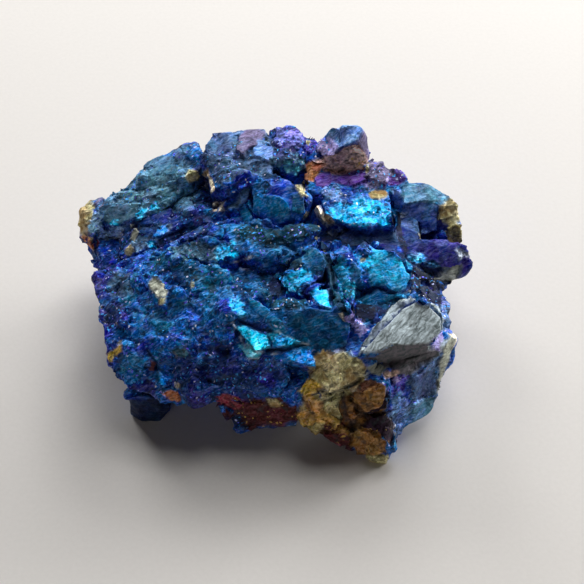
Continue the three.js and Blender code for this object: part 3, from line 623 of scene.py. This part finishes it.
# Cracks, which sink and get painted shade, and pale streaks, of which the white ones are painted
# highlights along edges, as lines in pixels of the picture.
CRACKS = {
    "under_lens": [(156, 246), (163, 240), (174, 234), (185, 228)],
    "beside_thumb": [(221, 214), (232, 205), (243, 194), (250, 188)],
    "under_thumb": [(258, 221), (268, 227), (281, 228), (292, 222)],
    "over_facets": [(278, 258), (289, 250), (303, 247), (314, 240)],
    "corridor": [(327, 250), (330, 264), (333, 282), (339, 298), (343, 310)],
    "over_spark": [(299, 296), (306, 288), (316, 282), (327, 281)],
    "over_strip": [(241, 320), (255, 327), (270, 331)],
    "over_lip": [(268, 350), (284, 350), (300, 345), (310, 345)],
    "under_big": [(360, 298), (370, 291), (378, 286), (390, 292), (412, 290)],
    "under_lobe": [(406, 256), (415, 265), (428, 270), (450, 270)],
    "curtain_west": [(147, 352), (153, 358), (157, 366)],
    "cap_foot": [(318, 390), (330, 392), (341, 389), (352, 384), (361, 378)],
    "streaked": [(321, 404), (330, 399), (338, 393)],
    "streaked_east": [(346, 392), (343, 402), (346, 414), (352, 424)],
    "knob": [(299, 397), (306, 404), (314, 414)],
}
STREAKS = {
    "beige": (CREAM, [(222, 263), (232, 262), (240, 259), (251, 258), (262, 257)]),
    "green": (PAINTED_LIGHT_WHITE, [(231, 269), (240, 270), (250, 269)]),
    "rim_thread": (OLIVE, [(120, 344), (126, 337), (131, 329)]),
    "strip_edge": (PAINTED_LIGHT_WHITE, [(232, 322), (237, 331), (242, 340), (250, 348), (262, 352)]),
    "strip_foot": (PAINTED_LIGHT_WHITE, [(247, 356), (256, 358), (266, 357), (275, 353)]),
    "strip_hair": (PAINTED_LIGHT_WHITE, [(276, 331), (290, 336), (300, 342), (309, 344)]),
    "gold_tick": (CREAM, [(342, 313), (345, 320)]),
    "wall_edge": (PAINTED_LIGHT_WHITE, [(389, 404), (391, 416), (393, 430), (397, 440)]),
}
CRACK_WIDTH = 0.24
CRACK_DEPTH = 0.35
STREAK_WIDTH = 0.11
PICTURE_WANDER = 1.2  # how far outlines in the picture wander, in pixels
OUTLINE_EDGE = 0.08  # half the width of a facet's soft edge
LEAST_SHOWN = 0.9  # a facet that nowhere shows this much is left out
BROKEN = (-0.5, 0.3)  # the waves between which a streak comes and goes
SHADED_RELIEF = (-0.05, -0.32)  # the relief from which a crevice gets painted shade, and where that shade is darkest
CHIPPED = 0.7  # how far a granular facet's outline follows its fine crystals


def linear(colour):
    """An sRGB colour of 0 to 255 as linear light."""
    share = np.asarray(colour, float) / 255
    return np.where(share <= 0.04045, share / 12.92, ((share + 0.055) / 1.055) ** 2.4)


def smooth_step(low, high, value):
    share = np.clip((value - low) / (high - low), 0, 1)
    return share * share * (3 - 2 * share)


# ---------------------------------------------------------------------------- the rock's mesh


def welded_copy(node):
    mesh = node.data.copy()
    welded = bmesh.new()
    welded.from_mesh(mesh)
    bmesh.ops.remove_doubles(welded, verts=welded.verts, dist=1e-7)
    welded.to_mesh(mesh)
    welded.free()
    return mesh


def modified(mesh, kind, **settings):
    """A copy of the mesh with one modifier applied."""
    holder = bpy.data.objects.new("modified", mesh)
    bpy.context.scene.collection.objects.link(holder)
    modifier = holder.modifiers.new("change", kind)
    for name, value in settings.items():
        setattr(modifier, name, value)
    view = bpy.context.evaluated_depsgraph_get()
    changed = bpy.data.meshes.new_from_object(holder.evaluated_get(view))
    bpy.data.objects.remove(holder)
    return changed


def one_piece(mesh):
    """Delete the specks and bubbles that lie loose of the rock."""
    work = bmesh.new()
    work.from_mesh(mesh)
    left = set(work.verts)
    pieces = []
    while left:
        start = left.pop()
        piece = [start]
        for vertex in piece:
            near = {edge.other_vert(vertex) for edge in vertex.link_edges} & left
            left -= near
            piece.extend(near)
        pieces.append(piece)
    pieces.remove(max(pieces, key=len))
    bmesh.ops.delete(work, geom=[vertex for piece in pieces for vertex in piece], context="VERTS")
    work.to_mesh(mesh)
    work.free()


def pulled(points):
    """The points after the small pulls."""
    for middle, radius, shift in PULLS.values():
        away = np.linalg.norm(points - middle, axis=1) / radius
        points = points + np.maximum(1 - away**2, 0)[:, None] ** 2 * shift
    return points


def read(items, name, width):
    values = np.empty(len(items) * width, np.float32)
    items.foreach_get(name, values)
    return values.reshape(-1, width).astype(float)


def tree_of(mesh):
    corners = [vertex.co / MM for vertex in mesh.vertices]
    return bvhtree.BVHTree.FromPolygons(corners, [face.vertices[:] for face in mesh.polygons])


def facets_at(tree, points):
    """The normal of the solid's nearest facet at each point, and how far out its plane lies."""
    found = [tree.find_nearest(point) for point in points]
    normals = np.array([normal for _, normal, _, _ in found])
    reach = np.array([normal.dot(place) for place, normal, _, _ in found])
    return normals, reach


def ridged(places):
    """A crystal's width as a share of its length, at each place."""
    middle, radius = RIDGES
    away = np.linalg.norm(places - middle, axis=1)
    return RIDGE_WIDTH + (CRYSTAL_WIDTH - RIDGE_WIDTH) * smooth_step(RIDGE_EDGE * radius, radius, away)


def grow(points, normals, area, spacing, rise, lean, wall, seed):
    """The height of one generation of crystals at each point, and the middle of the crystal there."""
    rng = np.random.default_rng(seed)
    count = int(area / spacing**2)
    chosen = rng.choice(len(points), count, replace=False)
    middles, up = points[chosen], normals[chosen]
    banding = np.array([math.cos(BANDING), math.sin(BANDING), BANDING_DIP])
    along = banding - (up @ banding)[:, None] * up
    along /= np.linalg.norm(along, axis=1)[:, None]
    across = np.cross(up, along)
    tree = kdtree.KDTree(count)
    for index, middle in enumerate(middles):
        tree.insert(middle, index)
    tree.balance()
    near = np.array([[found[1] for found in tree.find_n(point, NEIGHBOURS)] for point in points])

    away = points[:, None, :] - middles[near]
    u = (away * along[near]).sum(-1) * ridged(middles)[near]
    v = (away * across[near]).sum(-1)
    heights = rise * rng.uniform(-1, 1, count)
    leans = lean * rng.normal(size=(count, 2))
    tops = heights[near] + u * leans[near, 0] + v * leans[near, 1]
    turns = np.arange(SIDES) + UNEVEN_SIDES * rng.random((count, SIDES))
    angles = turns * 2 * math.pi / SIDES
    outward = (u[..., None] * np.cos(angles)[near] + v[..., None] * np.sin(angles)[near]).max(-1)
    reach = spacing * rng.uniform(*CRYSTAL_REACH, count)
    walls = heights[near] + (reach[near] - outward) * wall
    shapes = np.maximum(np.minimum(tops, walls), -DEEPEST * rise)
    best = shapes.argmax(1)
    relief = shapes.max(1)
    return relief - relief.mean(), middles[near[np.arange(len(points)), best]]


def random_of(places, seed):
    """A repeatable number of 0 to 1 for each place."""
    weights = np.array([12.9898, 78.233, 37.719, 53.117])[: places.shape[1]]
    return np.abs(np.sin(places @ weights + seed * 4.137) * 43758.5453) % 1


def waves(points, scale, seed):
    """A slow, smooth field of about -1 to 1."""
    rng = np.random.default_rng(seed)
    field = np.zeros(len(points))
    for _ in range(6):
        direction = rng.normal(size=3)
        direction /= np.linalg.norm(direction)
        field += np.sin(points @ direction * rng.uniform(0.7, 1.4) / scale + rng.uniform(0, 6.3))
    return field / 3


def picture(points):
    """Where the camera sees each point, in pixels of the picture."""
    forward = np.array([0, math.cos(ELEVATION), -math.sin(ELEVATION)])
    up = np.array([0, math.sin(ELEVATION), math.cos(ELEVATION)])
    away = points - (np.array(TARGET) - DISTANCE * forward)
    scale = DISTANCE / PIXEL / (away @ forward)
    return np.stack([away[:, 0] * scale, -(away @ up) * scale], 1) + IMAGE_SIZE / 2


def seen(solid_tree, points):
    """Whether the camera sees each point past the solid."""
    eye = Vector(TARGET) + Vector((0, -math.cos(ELEVATION), math.sin(ELEVATION))) * DISTANCE
    result = np.zeros(len(points), bool)
    for index, point in enumerate(points):
        way = Vector(point) - eye
        distance = solid_tree.ray_cast(eye, way)[3]
        result[index] = distance is None or distance > way.length - SEEN_DEPTH
    return result


def from_line(spots, line):
    """How far each spot lies from a line of points."""
    nearest = np.full(len(spots), 1e9)
    for start, end in zip(line, line[1:]):
        start, way = np.array(start, float), np.subtract(end, start)
        share = np.clip((spots - start) @ way / (way @ way), 0, 1)
        nearest = np.minimum(nearest, np.linalg.norm(spots - start - share[:, None] * way, axis=1))
    return nearest


def from_outline(spots, outline):
    """How far each spot lies outside a closed outline, and less than 0 inside it."""
    inside = np.zeros(len(spots), bool)
    for (x0, y0), (x1, y1) in zip(outline, outline[1:] + outline[:1]):
        crosses = (y0 > spots[:, 1]) != (y1 > spots[:, 1])
        rise = y1 - y0 if y1 != y0 else 1
        inside ^= crosses & (spots[:, 0] < (x1 - x0) * (spots[:, 1] - y0) / rise + x0)
    away = from_line(spots, outline + outline[:1])
    return np.where(inside, -away, away)


def level(points, normals, share, catches):
    """How far each point moves, to bring a facet into one plane that stands proud."""
    facing = (normals * share[:, None]).sum(0)
    facing /= np.linalg.norm(facing)
    facing[2] += catches * CATCH
    facing /= np.linalg.norm(facing)
    heights = points @ facing
    off = np.median(heights[share > 0.5]) - heights
    off = np.clip(off * LEVEL, -LEVEL_LIMIT, LEVEL_LIMIT) + PROUD
    return facing * (off * share)[:, None]


def tarnish(points, middles, facets, reach):
    """The colour of each point, the share of each kind that shows there, and how bright it is."""
    planes = np.round(np.column_stack([facets * 12, reach]))
    facet_chance = random_of(planes, 7)
    chance = random_of(middles, 1)
    wave, size = RUN_WAVE
    place = RUN_START + wave * waves(middles, size, 3) + RUN_OF_FACET * (facet_chance - 0.5)
    place += RUN_OF_CRYSTAL * (chance - 0.5) + RUN_UPWARD * facets[:, 2]
    steps = np.clip(place, 0, 1) * (len(TARNISH_RUN) - 1)
    run = np.array([linear(colour) for colour in TARNISH_RUN])
    colour = np.stack([np.interp(steps, np.arange(len(run)), run[:, i]) for i in range(3)], 1)
    flecked = random_of(middles, 2) < FLECKS
    colour[flecked] = linear(BRASS)
    shares = {kind: np.zeros(len(points)) for kind in ("brass", "grey", "satin", "rust", "shine")}
    shares["brass"][flecked] = 1
    wander = WANDER * np.stack([waves(points, 0.5, seed) for seed in (11, 12, 13)], 1)
    spots = SNAP * middles + (1 - SNAP) * points + wander
    for name, (shade, shows, middle, radii) in ZONES.items():
        away = np.linalg.norm((spots - middle) / radii, axis=1)
        here = 1 - smooth_step(1 - ZONE_EDGE / 2, 1 + ZONE_EDGE / 2, away)
        if name in FACING:
            here *= facets @ np.array(FACING[name]) > SAME_WAY
        paint(colour, shares, here, shade, shows)
    return colour, shares, SHADE + SHADE_OF_FACET * facet_chance + SHADE_OF_CRYSTAL * chance


def paint(colour, shares, here, shade, shows):
    """Lay one colour and what shows over the points, where here is more than 0."""
    colour += (linear(shade) - colour) * here[:, None]
    for kind, share in shares.items():
        shown = shade in SHINING if kind == "shine" else shows == kind
        share += (shown - share) * here


def single_facets(points, normals, visible, spots, chips, colour, shares):
    """Paint and level the facets that have outlines, and return the moves and the seams, which get painted
    shade.
    """
    moved = np.zeros(points.shape)
    seams = np.zeros(len(points))
    for shade, shows, outline in FACETS.values():
        away = from_outline(chips if shows == "ore" else spots, outline) * PIXEL
        here = (1 - smooth_step(-OUTLINE_EDGE, OUTLINE_EDGE, away)) * visible
        if here.max() < LEAST_SHOWN:
            continue
        move = level(points, normals, here, shade in SHINING)
        moved += (move - moved) * here[:, None]
        paint(colour, shares, here, shade, shows)
        seam = np.exp(-(((away - SEAM) / SEAM) ** 2)) * visible * (shows == "satin")
        seams = np.maximum(seams * (1 - here), seam)
    return moved, seams


def store(mesh, name, values):
    if values.ndim == 2:
        layer = mesh.attributes.new(name, "FLOAT_COLOR", "POINT")
        rgba = np.concatenate([values, np.ones((len(values), 1))], 1)
        layer.data.foreach_set("color", rgba.astype(np.float32).ravel())
    else:
        layer = mesh.attributes.new(name, "FLOAT", "POINT")
        layer.data.foreach_set("value", values.astype(np.float32))


def near_line(spots, line, width, visible):
    """How far each point belongs to a line in the picture: 1 on the line, and 0 away from it."""
    away = from_line(spots, line) * PIXEL
    return np.exp(-((away / width) ** 2)) * visible


def drawn_lines(points, visible, spots, colour, shares, seams):
    """Paint the streaks, which clear the seams that they cross, and return the cracks, which get painted
    shade.
    """
    cracks = np.zeros(len(points))
    for line in CRACKS.values():
        cracks = np.maximum(cracks, near_line(spots, line, CRACK_WIDTH, visible))
    broken = smooth_step(*BROKEN, waves(points, 0.3, 31))
    for shade, line in STREAKS.values():
        here = near_line(spots, line, STREAK_WIDTH, visible) * broken
        paint(colour, shares, here, shade, "satin")
        seams *= 1 - here
    return cracks


def thinned(mesh):
    """A smooth copy of at most MOST_TRIANGLES, in one piece, with its feet flat on the floor."""
    triangles = sum(len(face.vertices) - 2 for face in mesh.polygons)
    mesh = modified(mesh, "DECIMATE", ratio=MOST_TRIANGLES / triangles)
    one_piece(mesh)
    points = read(mesh.vertices, "co", 3)
    points[:, 2] = np.maximum(points[:, 2], 0)
    mesh.vertices.foreach_set("co", points.ravel())
    mesh.shade_smooth()
    mesh.set_sharp_from_angle(angle=SHARP)
    return mesh


def rock_mesh():
    """The solid as a fine mesh, with its relief, and with its tarnish and its painted crevice shade as
    attributes.
    """
    solid = welded_copy(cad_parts[NODE])
    mesh = modified(solid, "REMESH", mode="VOXEL", voxel_size=FINENESS * MM)
    tree = tree_of(solid)
    points = read(mesh.vertices, "co", 3) / MM
    normals = read(mesh.vertices, "normal", 3)
    facets, reach = facets_at(tree, points)
    area = sum(face.area for face in mesh.polygons) / MM**2
    grown = {name: grow(points, normals, area, **spec) for name, spec in CRYSTALS.items()}
    colour, shares, shades = tarnish(points, grown["middle"][1], facets, reach)

    places = pulled(points)
    wander = PICTURE_WANDER * np.stack([waves(points, 0.4, 21), waves(points, 0.4, 22)], 1)
    spots = picture(places) + wander
    chips = picture(places + CHIPPED * (grown["fine"][1] - points)) + wander
    visible = seen(tree, points)
    moved, seams = single_facets(points, normals, visible, spots, chips, colour, shares)
    cracks = drawn_lines(points, visible, spots, colour, shares, seams)

    relief = sum(height for height, _ in grown.values())
    calm = np.maximum(np.maximum(shares["satin"], shares["grey"]), shares["rust"])
    relief *= 1 - (1 - CALM_RELIEF) * calm
    relief -= CRACK_DEPTH * cracks + SEAM_DEPTH * seams
    shaped = places + moved + normals * (relief + PUFF)[:, None]
    shaped[:, 2] = np.maximum(shaped[:, 2], 0)
    mesh.vertices.foreach_set("co", (shaped * MM).astype(np.float32).ravel())
    mesh.update()

    colour *= shades[:, None]
    store(mesh, "tarnish", colour / np.maximum(colour.max(1), 1)[:, None])
    for kind, share in shares.items():
        store(mesh, kind, share)
    # Painted shade in the cracks, in the seams, and in the low places of the relief.
    painted_shade = np.maximum(cracks, SEAM_SHADE * seams)
    store(mesh, "crevice_shade", np.maximum(smooth_step(*SHADED_RELIEF, relief), painted_shade))
    return thinned(mesh)


def make_rock():
    mesh = rock_mesh()
    mesh.materials.clear()
    mesh.materials.append(ore_material())
    rock = bpy.data.objects.new("rock", mesh)
    bpy.context.scene.collection.objects.link(rock)
    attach(rock, "root")
    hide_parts(NODE)
    return rock


# ---------------------------------------------------------------------------- materials


class Shading:
    """Short ways to build one material's nodes."""

    def __init__(self, name):
        self.material = bpy.data.materials.new(name)
        self.material.use_nodes = True
        self.tree = self.material.node_tree
        self.shader = self.tree.nodes["Principled BSDF"]

    def node(self, kind, inputs=None, **settings):
        made = self.tree.nodes.new(kind)
        for name, value in settings.items():
            setattr(made, name, value)
        for name, value in (inputs or {}).items():
            self.put(made.inputs[name], value)
        return made

    def put(self, socket, value):
        if isinstance(value, bpy.types.NodeSocket):
            self.tree.links.new(value, socket)
        else:
            socket.default_value = value

    def attribute(self, name, output="Fac"):
        return self.node("ShaderNodeAttribute", attribute_name=name).outputs[output]

    def math(self, operation, a, b=0.0, clamp=False):
        made = self.node("ShaderNodeMath", {0: a, 1: b}, operation=operation, use_clamp=clamp)
        return made.outputs[0]

    def vector(self, operation, a, b=(0.0, 0.0, 0.0)):
        return self.node("ShaderNodeVectorMath", {0: a, 1: b}, operation=operation).outputs[0]

    def scaled(self, vector, by):
        made = self.node("ShaderNodeVectorMath", {0: vector, "Scale": by}, operation="SCALE")
        return made.outputs[0]

    def spread(self, value, low, high, to_low, to_high):
        made = self.node(
            "ShaderNodeMapRange",
            {"Value": value, "From Min": low, "From Max": high, "To Min": to_low, "To Max": to_high},
        )
        return made.outputs[0]

    def mix(self, share, a, b):
        made = self.node("ShaderNodeMix", data_type="RGBA")
        self.put(made.inputs[0], share)
        self.put(made.inputs[6], a)
        self.put(made.inputs[7], b)
        return made.outputs[2]

    def noise(self, place, scale, detail, output="Fac"):
        made = self.node("ShaderNodeTexNoise", {"Vector": place, "Scale": scale, "Detail": detail})
        return made.outputs[output]

    def cells(self, place, scale):
        return self.node("ShaderNodeTexVoronoi", {"Vector": place, "Scale": scale}).outputs["Color"]

    def parts(self, colour):
        return self.node("ShaderNodeSeparateColor", {0: colour}).outputs


def rgba(colour):
    return (*linear(colour), 1.0)


FACET = 1.0  # the painted glints' number per mm
GLINT = 3.6  # the smaller ones'
PAINTED_GLINT_CELLS = 5.0  # the sparks' own
PAINTED_GLINT_EDGE = 0.004  # how softly a painted glint sets in
HALF = (0.5, 0.5, 0.5)
LAYERS = (0.0, 0.35, 0.75)  # the way that the thin layers of a shining facet face
# The painted glints: their colour, and how rare they are.
PAINTED_GLINTS = {
    "azure": (PAINTED_GLINT_AZURE, 0.925),
    "violet": (PAINTED_GLINT_VIOLET, 0.966),
    "white": (PAINTED_GLINT_WHITE, 0.984),
}
# Each noise's number of waves per mm, and how much detail it has.
NOISES = {
    "wobble": (0.9, 2.0),
    "crowd": (0.8, 2.0),
    "drift": (0.45, 3.0),
    "grain": (3.0, 4.0),
    "lines": (1.0, 3.0),
    "clouds": (1.2, 5.0),
    "dull": (1.3, 4.0),
    "streak": (1.0, 5.0),
    "stain": (0.5, 2.0),
    "mottle": (1.4, 5.0),
    "bump": (5.0, 3.0),
}
# How far the noises that run in lines are squeezed along X, Y and Z.
LINES_STRETCH = (0.8, 5.0, 3.0)
STREAK_STRETCH = (2.4, 1.2, 3.0)
MOTTLE_STRETCH = (0.6, 2.6, 1.4)
# The range of a value that counts for a trait, and the range that the trait takes from it.
TRAITS = {
    "crowd": (0.3, 0.7, -0.03, 0.02),
    "strength": (0, 1, 0.35, 1.3),
    "facet hue": (0, 1, -0.012, 0.012),
    "hue": (0.3, 0.7, 0.485, 0.52),
    "value": (0.3, 0.7, 0.7, 1.3),
    "facet value": (0, 1, 0.85, 1.15),
    "grain": (0.35, 0.65, -0.45, 0.45),
    "hairs": (0.35, 0.65, -0.4, 0.4),
    "clouds": (0.35, 0.65, -0.35, 0.35),
    "uneven": (0, 1, 1, 0.6),
    "saturation": (0.35, 0.65, 1.15, 0.85),
    "dull": (0.54, 0.66, 0, 0.65),
    "upward": (0, 0.7, 0.25, 1),
    "specks": (0.96, 0.965, 0, 0.8),
    "pits": (0.57, 0.66, 0, 0.7),
    "stains": (0.52, 0.66, 0, 0.6),
    "slate": (0.42, 0.64, 0, 0.8),
    "metal": (0, 1, 0.3, 0.6),
    "rough": (0, 1, 0.36, 0.62),
    "layered": (0, 1, 0, 1.4),
}
WOBBLE = 0.8  # how far the facets' places wander
SATIN_SMOOTHS = 0.9  # how far satin ore loses its dull patches and painted glints
CALMS = 0.35  # how far satin ore and brass lose their grain and tilts
DARKEST = 0.4  # the least that the grain leaves of a colour's value
BRASS_SHOWS = 0.9
# How far crevices go towards the colour of their painted shade.
CREVICE_SHADE_SHARE = 0.55
SHINE_SMOOTHS = 0.08
GREY_ROUGHENS = 0.25
SPECULAR = 0.1
FACET_TILT = 0.24
GLINT_TILT = 0.26
HAIR_HEIGHT = 1.2  # the height of the hair lines against the fine grain's
BUMP = {"Strength": 0.6, "Distance": 0.06 * MM}


class Ore(Shading):
    """The nodes of the ore. Each method adds one trait to the colour, or sets some inputs."""

    def __init__(self):
        super().__init__("iridescent ore")
        place = self.scaled(self.node("ShaderNodeTexCoord").outputs["Object"], 1 / MM)
        wobble = self.vector("SUBTRACT", self.noise(place, *NOISES["wobble"], "Color"), HALF)
        self.place = self.vector("ADD", place, self.scaled(wobble, WOBBLE))
        self.facets = self.cells(self.place, FACET)
        self.glints = self.cells(self.place, GLINT)
        self.facet, self.glint = self.parts(self.facets), self.parts(self.glints)
        crowd = self.trait("crowd", self.noise(self.place, *NOISES["crowd"]))
        sparks = self.parts(self.cells(self.place, PAINTED_GLINT_CELLS))
        self.spark = self.math("ADD", sparks[0], crowd)
        self.strength = self.trait("strength", sparks[1])
        kinds = ("brass", "grey", "satin", "rust", "shine")
        self.brass, self.grey, self.satin, self.rust, self.shine = map(self.attribute, kinds)
        satin = self.math("MULTIPLY", self.satin, SATIN_SMOOTHS)
        self.granular = self.math("SUBTRACT", 1.0, satin)
        smooth = self.math("MAXIMUM", self.satin, self.brass)
        self.calm = self.math("SUBTRACT", 1.0, self.math("MULTIPLY", smooth, CALMS))
        self.lines = self.banded(BANDING, LINES_STRETCH, "lines")
        self.normal = self.node("ShaderNodeNewGeometry").outputs["Normal"]

    def trait(self, name, value):
        return self.spread(value, *TRAITS[name])

    def banded(self, angle, stretch, name):
        """A noise in lines that run at an angle from +X, seen from above."""
        turned = self.node(
            "ShaderNodeVectorRotate",
            {"Vector": self.place, "Angle": -angle},
            rotation_type="Z_AXIS",
        ).outputs[0]
        return self.noise(self.vector("MULTIPLY", turned, stretch), *NOISES[name])

    def tarnished(self):
        """The tarnish drifts from place to place, and each facet has its own shade of it."""
        drift = self.parts(self.noise(self.place, *NOISES["drift"], "Color"))
        own_hue = self.trait("facet hue", self.facet[0])
        hue = self.math("ADD", self.trait("hue", drift[0]), own_hue)
        own_value = self.trait("facet value", self.facet[1])
        value = self.math("MULTIPLY", self.trait("value", drift[1]), own_value)
        value = self.math("MULTIPLY", value, self.grained())
        hue_and_value = {
            "Hue": hue,
            "Saturation": self.trait("saturation", self.lines),
            "Value": value,
            "Color": self.attribute("tarnish", "Color"),
        }
        return self.node("ShaderNodeHueSaturation", hue_and_value).outputs[0]

    def grained(self):
        """The grain, the hair lines of the cleavage along the banding, and clouds."""
        grain = self.trait("grain", self.noise(self.place, *NOISES["grain"]))
        grain = self.math("MULTIPLY", grain, self.calm)
        hairs = self.math("MULTIPLY", self.trait("hairs", self.lines), self.calm)
        clouds = self.trait("clouds", self.noise(self.place, *NOISES["clouds"]))
        uneven = self.math("ADD", self.math("ADD", grain, hairs), clouds)
        uneven = self.math("MULTIPLY", uneven, self.trait("uneven", self.shine))
        return self.math("MAXIMUM", self.math("ADD", 1.0, uneven), DARKEST)

    def earthy(self, colour):
        """Some of the granular ore is dull and earthy."""
        dull = self.trait("dull", self.noise(self.place, *NOISES["dull"]))
        return self.mix(self.math("MULTIPLY", dull, self.granular), colour, rgba(EARTH))

    def with_painted_glints(self, colour):
        """Small crystals on granular ore get painted glints, most where it faces up; rust has gold."""
        other = self.math("ADD", self.math("ADD", self.brass, self.grey), self.rust)
        upward = self.trait("upward", self.parts(self.normal)[2])
        bare = self.math("MULTIPLY", self.granular, upward)
        bare = self.math("SUBTRACT", bare, other, clamp=True)
        bare = self.math("MULTIPLY", bare, self.strength)
        for shade, rarity in PAINTED_GLINTS.values():
            rare = self.spread(self.spark, rarity, rarity + PAINTED_GLINT_EDGE, 0, 1)
            colour = self.mix(self.math("MULTIPLY", rare, bare), colour, rgba(shade))
        specks = self.math("MULTIPLY", self.trait("specks", self.spark), self.rust)
        return self.mix(specks, colour, rgba(GOLD))

    def brassy(self, colour):
        """Brass has dark pits and streaks, and amber stains."""
        squeezed = self.vector("MULTIPLY", self.place, STREAK_STRETCH)
        streak = self.noise(squeezed, *NOISES["streak"])
        pitted = self.mix(self.trait("pits", streak), colour, rgba(UMBER))
        stains = self.trait("stains", self.noise(self.place, *NOISES["stain"]))
        stained = self.mix(stains, pitted, rgba(AMBER))
        return self.mix(self.math("MULTIPLY", self.brass, BRASS_SHOWS), colour, stained)

    def slaty(self, colour):
        """The grey rock is mottled with dark slate, in slanting streaks."""
        mottle = self.banded(GREY_BANDING, MOTTLE_STRETCH, "mottle")
        bare = self.attribute("tarnish", "Color")
        slate = self.mix(self.trait("slate", mottle), bare, rgba(SLATE))
        return self.mix(self.grey, colour, slate)

    def shaded_crevices(self, colour):
        """Crevices, cracks and seams get painted shade."""
        painted_shade = self.math("MULTIPLY", self.attribute("crevice_shade"), CREVICE_SHADE_SHARE)
        return self.mix(painted_shade, colour, rgba(CREVICE_SHADE_COLOUR))

    def set_gloss(self):
        inputs = self.shader.inputs
        metal = self.math("SUBTRACT", self.trait("metal", self.shine), self.grey, clamp=True)
        self.put(inputs["Metallic"], metal)
        rough = self.trait("rough", self.glint[1])
        rough = self.math("SUBTRACT", rough, self.math("MULTIPLY", self.shine, SHINE_SMOOTHS))
        rougher = self.math("MULTIPLY", self.grey, GREY_ROUGHENS)
        self.put(inputs["Roughness"], self.math("ADD", rough, rougher))
        inputs["Specular IOR Level"].default_value = SPECULAR

    def set_normal(self):
        """The facets' own tilts, and a fine grain."""
        facet_tilt = self.scaled(self.vector("SUBTRACT", self.facets, HALF), FACET_TILT)
        glint_tilt = self.scaled(self.vector("SUBTRACT", self.glints, HALF), GLINT_TILT)
        tilt = self.scaled(self.vector("ADD", facet_tilt, glint_tilt), self.calm)
        layered = self.math("MULTIPLY", self.shine, self.trait("layered", self.glint[2]))
        tilt = self.vector("ADD", tilt, self.scaled(LAYERS, layered))
        tilted = self.vector("NORMALIZE", self.vector("ADD", self.normal, tilt))
        steep = self.math("SUBTRACT", HAIR_HEIGHT, self.grey)
        ridges = self.math("MULTIPLY", self.lines, steep)
        height = self.math("ADD", self.noise(self.place, *NOISES["bump"]), ridges)
        bump = self.node("ShaderNodeBump", {**BUMP, "Height": height, "Normal": tilted})
        self.put(self.shader.inputs["Normal"], bump.outputs[0])


def ore_material():
    ore = Ore()
    colour = ore.tarnished()
    for trait in (ore.earthy, ore.with_painted_glints, ore.brassy, ore.slaty, ore.shaded_crevices):
        colour = trait(colour)
    ore.put(ore.shader.inputs["Base Color"], colour)
    ore.set_gloss()
    ore.set_normal()
    return ore.material


SHEET_GREY = (228, 225, 221)
SHEET_PALE = (236, 233, 229)
SHEET_GRAIN = (2.0, 3.0)  # its waves per mm, and its detail
SHEET_ROUGHNESS = 0.8
SHEET_BUMP = {"Strength": 0.15, "Distance": 0.05 * MM}


def floor_material():
    s = Shading("pale sheet")
    place = s.scaled(s.node("ShaderNodeTexCoord").outputs["Object"], 1 / MM)
    grain = s.noise(place, *SHEET_GRAIN)
    s.put(s.shader.inputs["Base Color"], s.mix(grain, rgba(SHEET_GREY), rgba(SHEET_PALE)))
    s.shader.inputs["Roughness"].default_value = SHEET_ROUGHNESS
    bump = s.node("ShaderNodeBump", {**SHEET_BUMP, "Height": grain})
    s.put(s.shader.inputs["Normal"], bump.outputs[0])
    return s.material


# ---------------------------------------------------------------------------- stage

# The softboxes: the way to each from the rock, as its angle from straight behind towards +X and its
# height, both in degrees, and its power.
LAMPS = {
    "side": {"turn": 60, "height": 12, "power": 1.5, "colour": (1.0, 0.985, 0.97)},
    "left_back": {"turn": -30, "height": 30, "power": 0.68, "colour": (1.0, 0.99, 0.98)},
    "back": {"turn": 15, "height": 30, "power": 0.62, "colour": (1.0, 0.99, 0.98)},
    "upper_back": {"turn": 30, "height": 50, "power": 0.44, "colour": (1.0, 0.99, 0.98)},
    "top": {"turn": 20, "height": 70, "power": 0.42, "colour": (1.0, 0.99, 0.98)},
    "front": {"turn": 210, "height": 12, "power": 0.18, "colour": (1.0, 0.9, 0.82)},
}
LAMP_SIZE = 180
LAMP_DISTANCE = 420
LAMP_TARGET = (0.0, 0.0, 8.0)
SKY = (0.012, 0.012, 0.013)
FLOOR_SIZE = 4000


def aim(thing, place, target):
    thing.location = Vector(place) * MM
    thing.rotation_mode = "QUATERNION"
    thing.rotation_quaternion = (Vector(target) - Vector(place)).to_track_quat("-Z", "Y")


def make_stage():
    half = FLOOR_SIZE / 2 * MM
    sheet = bpy.data.meshes.new("floor")
    corners = [(-half, -half, 0), (half, -half, 0), (half, half, 0), (-half, half, 0)]
    sheet.from_pydata(corners, [], [(0, 1, 2, 3)])
    sheet.materials.append(floor_material())
    floor = bpy.data.objects.new("floor", sheet)
    bpy.context.scene.collection.objects.link(floor)
    for name, lamp in LAMPS.items():
        light = bpy.data.lights.new(name, "AREA")
        light.size = LAMP_SIZE * MM
        light.energy = lamp["power"]
        light.color = lamp["colour"]
        holder = bpy.data.objects.new(name, light)
        bpy.context.scene.collection.objects.link(holder)
        turn, height = math.radians(lamp["turn"]), math.radians(lamp["height"])
        across, up = math.cos(height), math.sin(height)
        way = Vector((math.sin(turn) * across, math.cos(turn) * across, up))
        aim(holder, Vector(LAMP_TARGET) + way * LAMP_DISTANCE, LAMP_TARGET)
    world = bpy.data.worlds.new("studio")
    world.use_nodes = True
    world.node_tree.nodes["Background"].inputs["Color"].default_value = (*SKY, 1)
    bpy.context.scene.world = world
    bpy.context.scene.view_settings.view_transform = "Standard"


def make_camera():
    camera = bpy.data.cameras.new("camera")
    camera.angle = 2 * math.atan(IMAGE_SIZE / 2 * PIXEL / DISTANCE)
    camera.clip_start = 1 * MM
    camera.clip_end = 10
    holder = bpy.data.objects.new("camera", camera)
    bpy.context.scene.collection.objects.link(holder)
    back = Vector((0, -math.cos(ELEVATION), math.sin(ELEVATION)))
    aim(holder, Vector(TARGET) + back * DISTANCE, TARGET)
    bpy.context.scene.camera = holder


make_camera()
make_stage()
make_rock()
